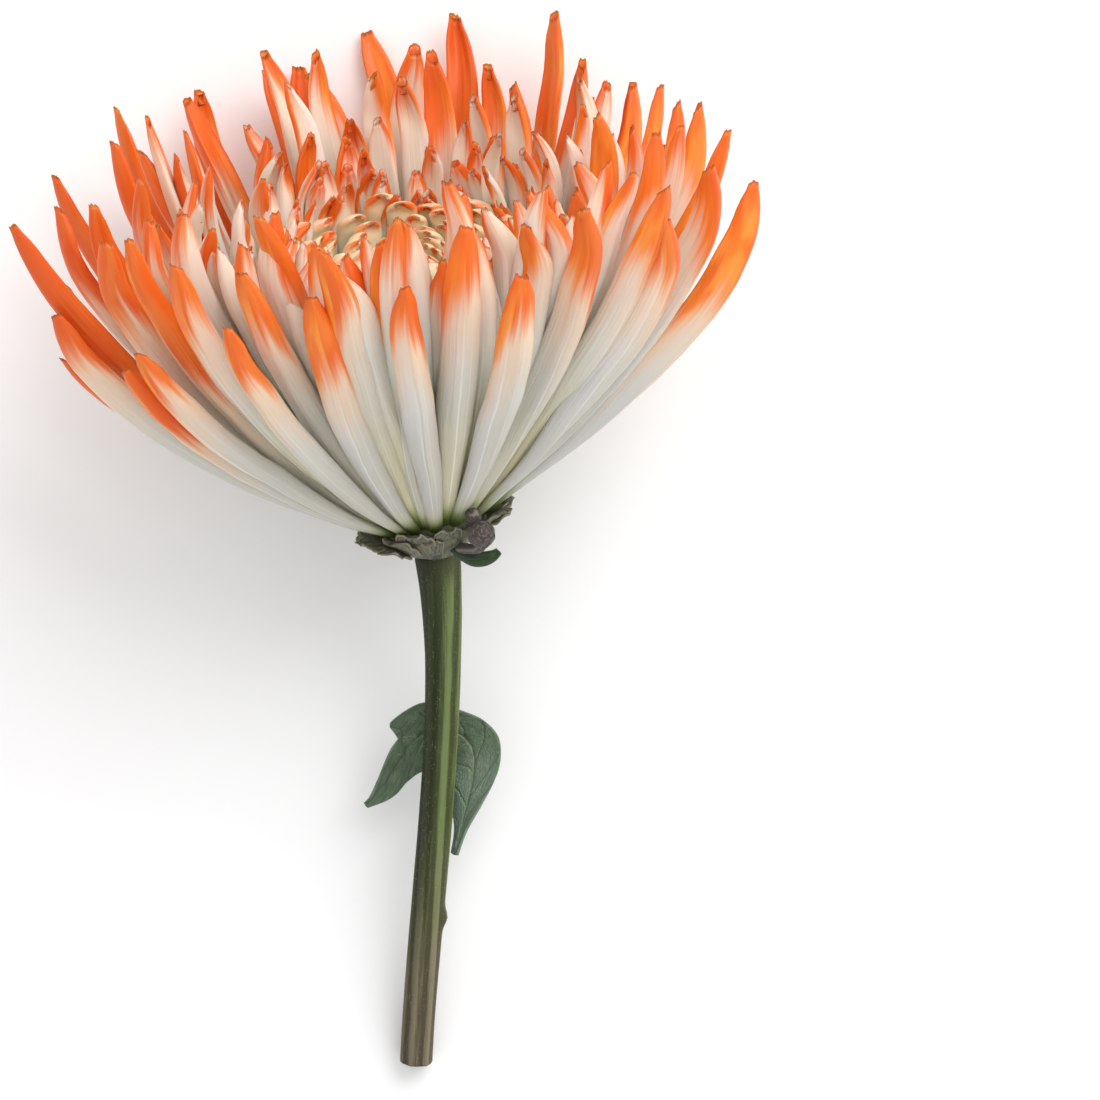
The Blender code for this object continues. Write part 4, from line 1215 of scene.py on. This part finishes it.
def along_rows(rows, t):
    """A smooth curve through rows of numbers, at t from 0 to 1."""
    place = t * (len(rows) - 1)
    k = min(int(place), len(rows) - 2)
    f = place - k
    a, b, c, d = [rows[min(max(k + i, 0), len(rows) - 1)] for i in (-1, 0, 1, 2)]
    return 0.5 * (2 * b + (c - a) * f + (2 * a - 5 * b + 4 * c - d) * f * f + (3 * b - a - 3 * c + d) * f**3)


def build_leaf():
    """The lobed leaf. It grows at the stem's right, arches behind it and hangs down at its left."""
    points = stem_points()
    table = np.array(LEAF_ROWS) * MM
    rows, columns = LEAF_GRID
    bm = bmesh.new()
    grid, places = [], []
    for number in range(rows):
        v = number / (rows - 1)
        outer, middle, inner = along_rows(table, v)
        depth = mix(*LEAF_DEPTH, smooth(0, LEAF_LEVEL_ROW, v * (len(table) - 1)))
        line = []
        for k in range(-columns, columns + 1):
            share = abs(k) / columns
            right, below = mix(middle, outer if k < 0 else inner, share)
            curl = LEAF_CURL[0] if k < 0 else LEAF_CURL[1]
            ripple = LEAF_RIPPLE * share**2 * sin(34 * v + (1 if k < 0 else 3))
            gutter = LEAF_GUTTER * exp(-((share / 0.08) ** 2))
            low = depth + curl * share**2 + ripple + gutter
            line.append(bm.verts.new(leaf_point(points, right, below, low)))
            # The third number is where the painted grey sheen lies: the first rows, at the stem's right
            places.append((k / columns, v, smooth(0.42, 0.2, v)))
        grid.append(line)
    for low, high in zip(grid, grid[1:]):
        for k in range(2 * columns):
            bm.faces.new((low[k], low[k + 1], high[k + 1], high[k]))
    leaf = object_from("lobed_leaf", bm, leaf_skin())
    store(leaf.data, "place", places)
    thicken = leaf.modifiers.new("thicken", "SOLIDIFY")
    thicken.thickness = LEAF_BLADE
    thicken.offset = 0
    plain(leaf)
    finished(leaf, "leaf")


def scale_over(centre, radius, axis, azimuth, width, length):
    """A scale that hugs a ball of the bud, from its foot towards its top."""
    out = Matrix.Rotation(azimuth, 3, axis) @ axis.orthogonal().normalized()
    angles = [radians(SCALE_FOOT + length * k / 3) for k in range(4)]
    stretch = 1 + 0.04 * length / 60
    spots = []
    for k, angle in enumerate(angles):
        far = radius * (stretch if k in (1, 2) else 1.0)
        spots.append(centre + (out * cos(angle) + axis * sin(angle)) * far)
    return Blade(spots, axis.cross(out).normalized(), width, SCALE_THICK)


def build_bud():
    """The side bud and the smaller one beside it, in overlapping scales, on a short stalk."""
    skin = greenery("bud_skin", BUD_COLOURS)
    azimuth = radians(BUD_AZIMUTH)
    radius, height = BUD_PLACE
    centre = radial(azimuth, radius, height)
    right, up, knob_radius = BUD_KNOB
    knob = centre + Vector((right, up, 0))
    axis = (HEAD.to_3x3() @ Vector(BUD_FACES)).normalized()
    blades, looks = [], []
    for ball, size, count in zip((centre, knob), (BUD_RADIUS, knob_radius), BUD_SCALES):
        for index in range(count):
            share = index / count
            shell = size - 0.15 * MM * share
            turn = radians(index * GOLDEN_ANGLE)
            length = mix(*SCALE_LENGTH, share)
            blades.append(scale_over(ball, shell, axis, turn, size * SCALE_WIDTH, length))
            looks.append((0.9, Draw(BUD_LOOK_SEED + index).random(), share))
    scales = grow_blades("bud_scales", "scale", skin, blades, looks, [(0.0, 0.0, 0.0)] * len(blades))
    finished(scales, "side_bud")
    bm = bmesh.new()
    for ball, size in ((centre, 0.93 * BUD_RADIUS), (knob, 0.9 * knob_radius)):
        place = Matrix.Translation(ball)
        bmesh.ops.create_uvsphere(bm, u_segments=32, v_segments=20, radius=size, matrix=place)
    heart = object_from("bud_heart", bm, skin)
    blotched(heart, 0.2, 300, (0.9, 0.4, 0.5))
    finished(heart, "side_bud")
    foot_radius, foot_height = BUD_FOOT
    foot = (foot_radius, skewed(azimuth, foot_radius, foot_height))
    stalk = blade_along(azimuth, foot, (radius, height - 0.5 * BUD_RADIUS), BUD_STALK_LEAN, 0.0, *BUD_STALK)
    stalk = grow_blades("bud_stalk", "stalk", skin, [stalk], [(0.9, 0.1, 0.0)], [(0, 0, 0)])
    finished(stalk, "side_bud")


def build_crescent():
    """The dark green crescent under the bud."""
    skin = greenery("crescent_skin", CRESCENT_COLOURS, 0.4)
    points = [HEAD.translation + Vector(point) * MM for point in CRESCENT]
    blade = Blade(points, Vector((0, 1, 0)), CRESCENT_WIDTH, CRESCENT_THICK)
    crescent = grow_blades("crescent_bract", "crescent", skin, [blade], [(0.9, 0.5, 0.0)], [(0, 0, 0)])
    finished(crescent, "bud_bract")


def build_studio():
    """A pale table, soft light from all sides and a camera that looks straight down."""
    bm = bmesh.new()
    bmesh.ops.create_grid(bm, x_segments=1, y_segments=1, size=2.0)
    table = object_from("table", bm, floor_skin())
    table.location.z = -TABLE_DROP
    scene = bpy.context.scene
    scene.world = bpy.data.worlds.new("room")
    scene.world.use_nodes = True
    room = scene.world.node_tree.nodes["Background"].inputs
    room["Color"].default_value = (1, 1, 1, 1)
    room["Strength"].default_value = ROOM_LIGHT
    lamp = placed("key", bpy.data.lights.new("key", "AREA"))
    lamp.data.size = LAMP_SIZE
    lamp.data.energy = LAMP_POWER
    lamp.location = LAMP_PLACE
    lamp.rotation_euler = (LAMP_AIM - LAMP_PLACE).to_track_quat("-Z", "Y").to_euler()
    camera = placed("camera", bpy.data.cameras.new("camera"))
    camera.data.sensor_width = 36.0
    camera.data.lens = camera.data.sensor_width * (CAMERA_HEIGHT - SHARP_HEIGHT) / FRAME_WIDTH
    camera.location = (CAMERA_ASIDE - BOX_CENTRE.x, -BOX_CENTRE.y, CAMERA_HEIGHT)
    scene.camera = camera
    scene.view_settings.view_transform = "Standard"


build_rays()
build_heart()
build_cup()
build_stem()
build_leaf()
build_bud()
build_crescent()
build_studio()
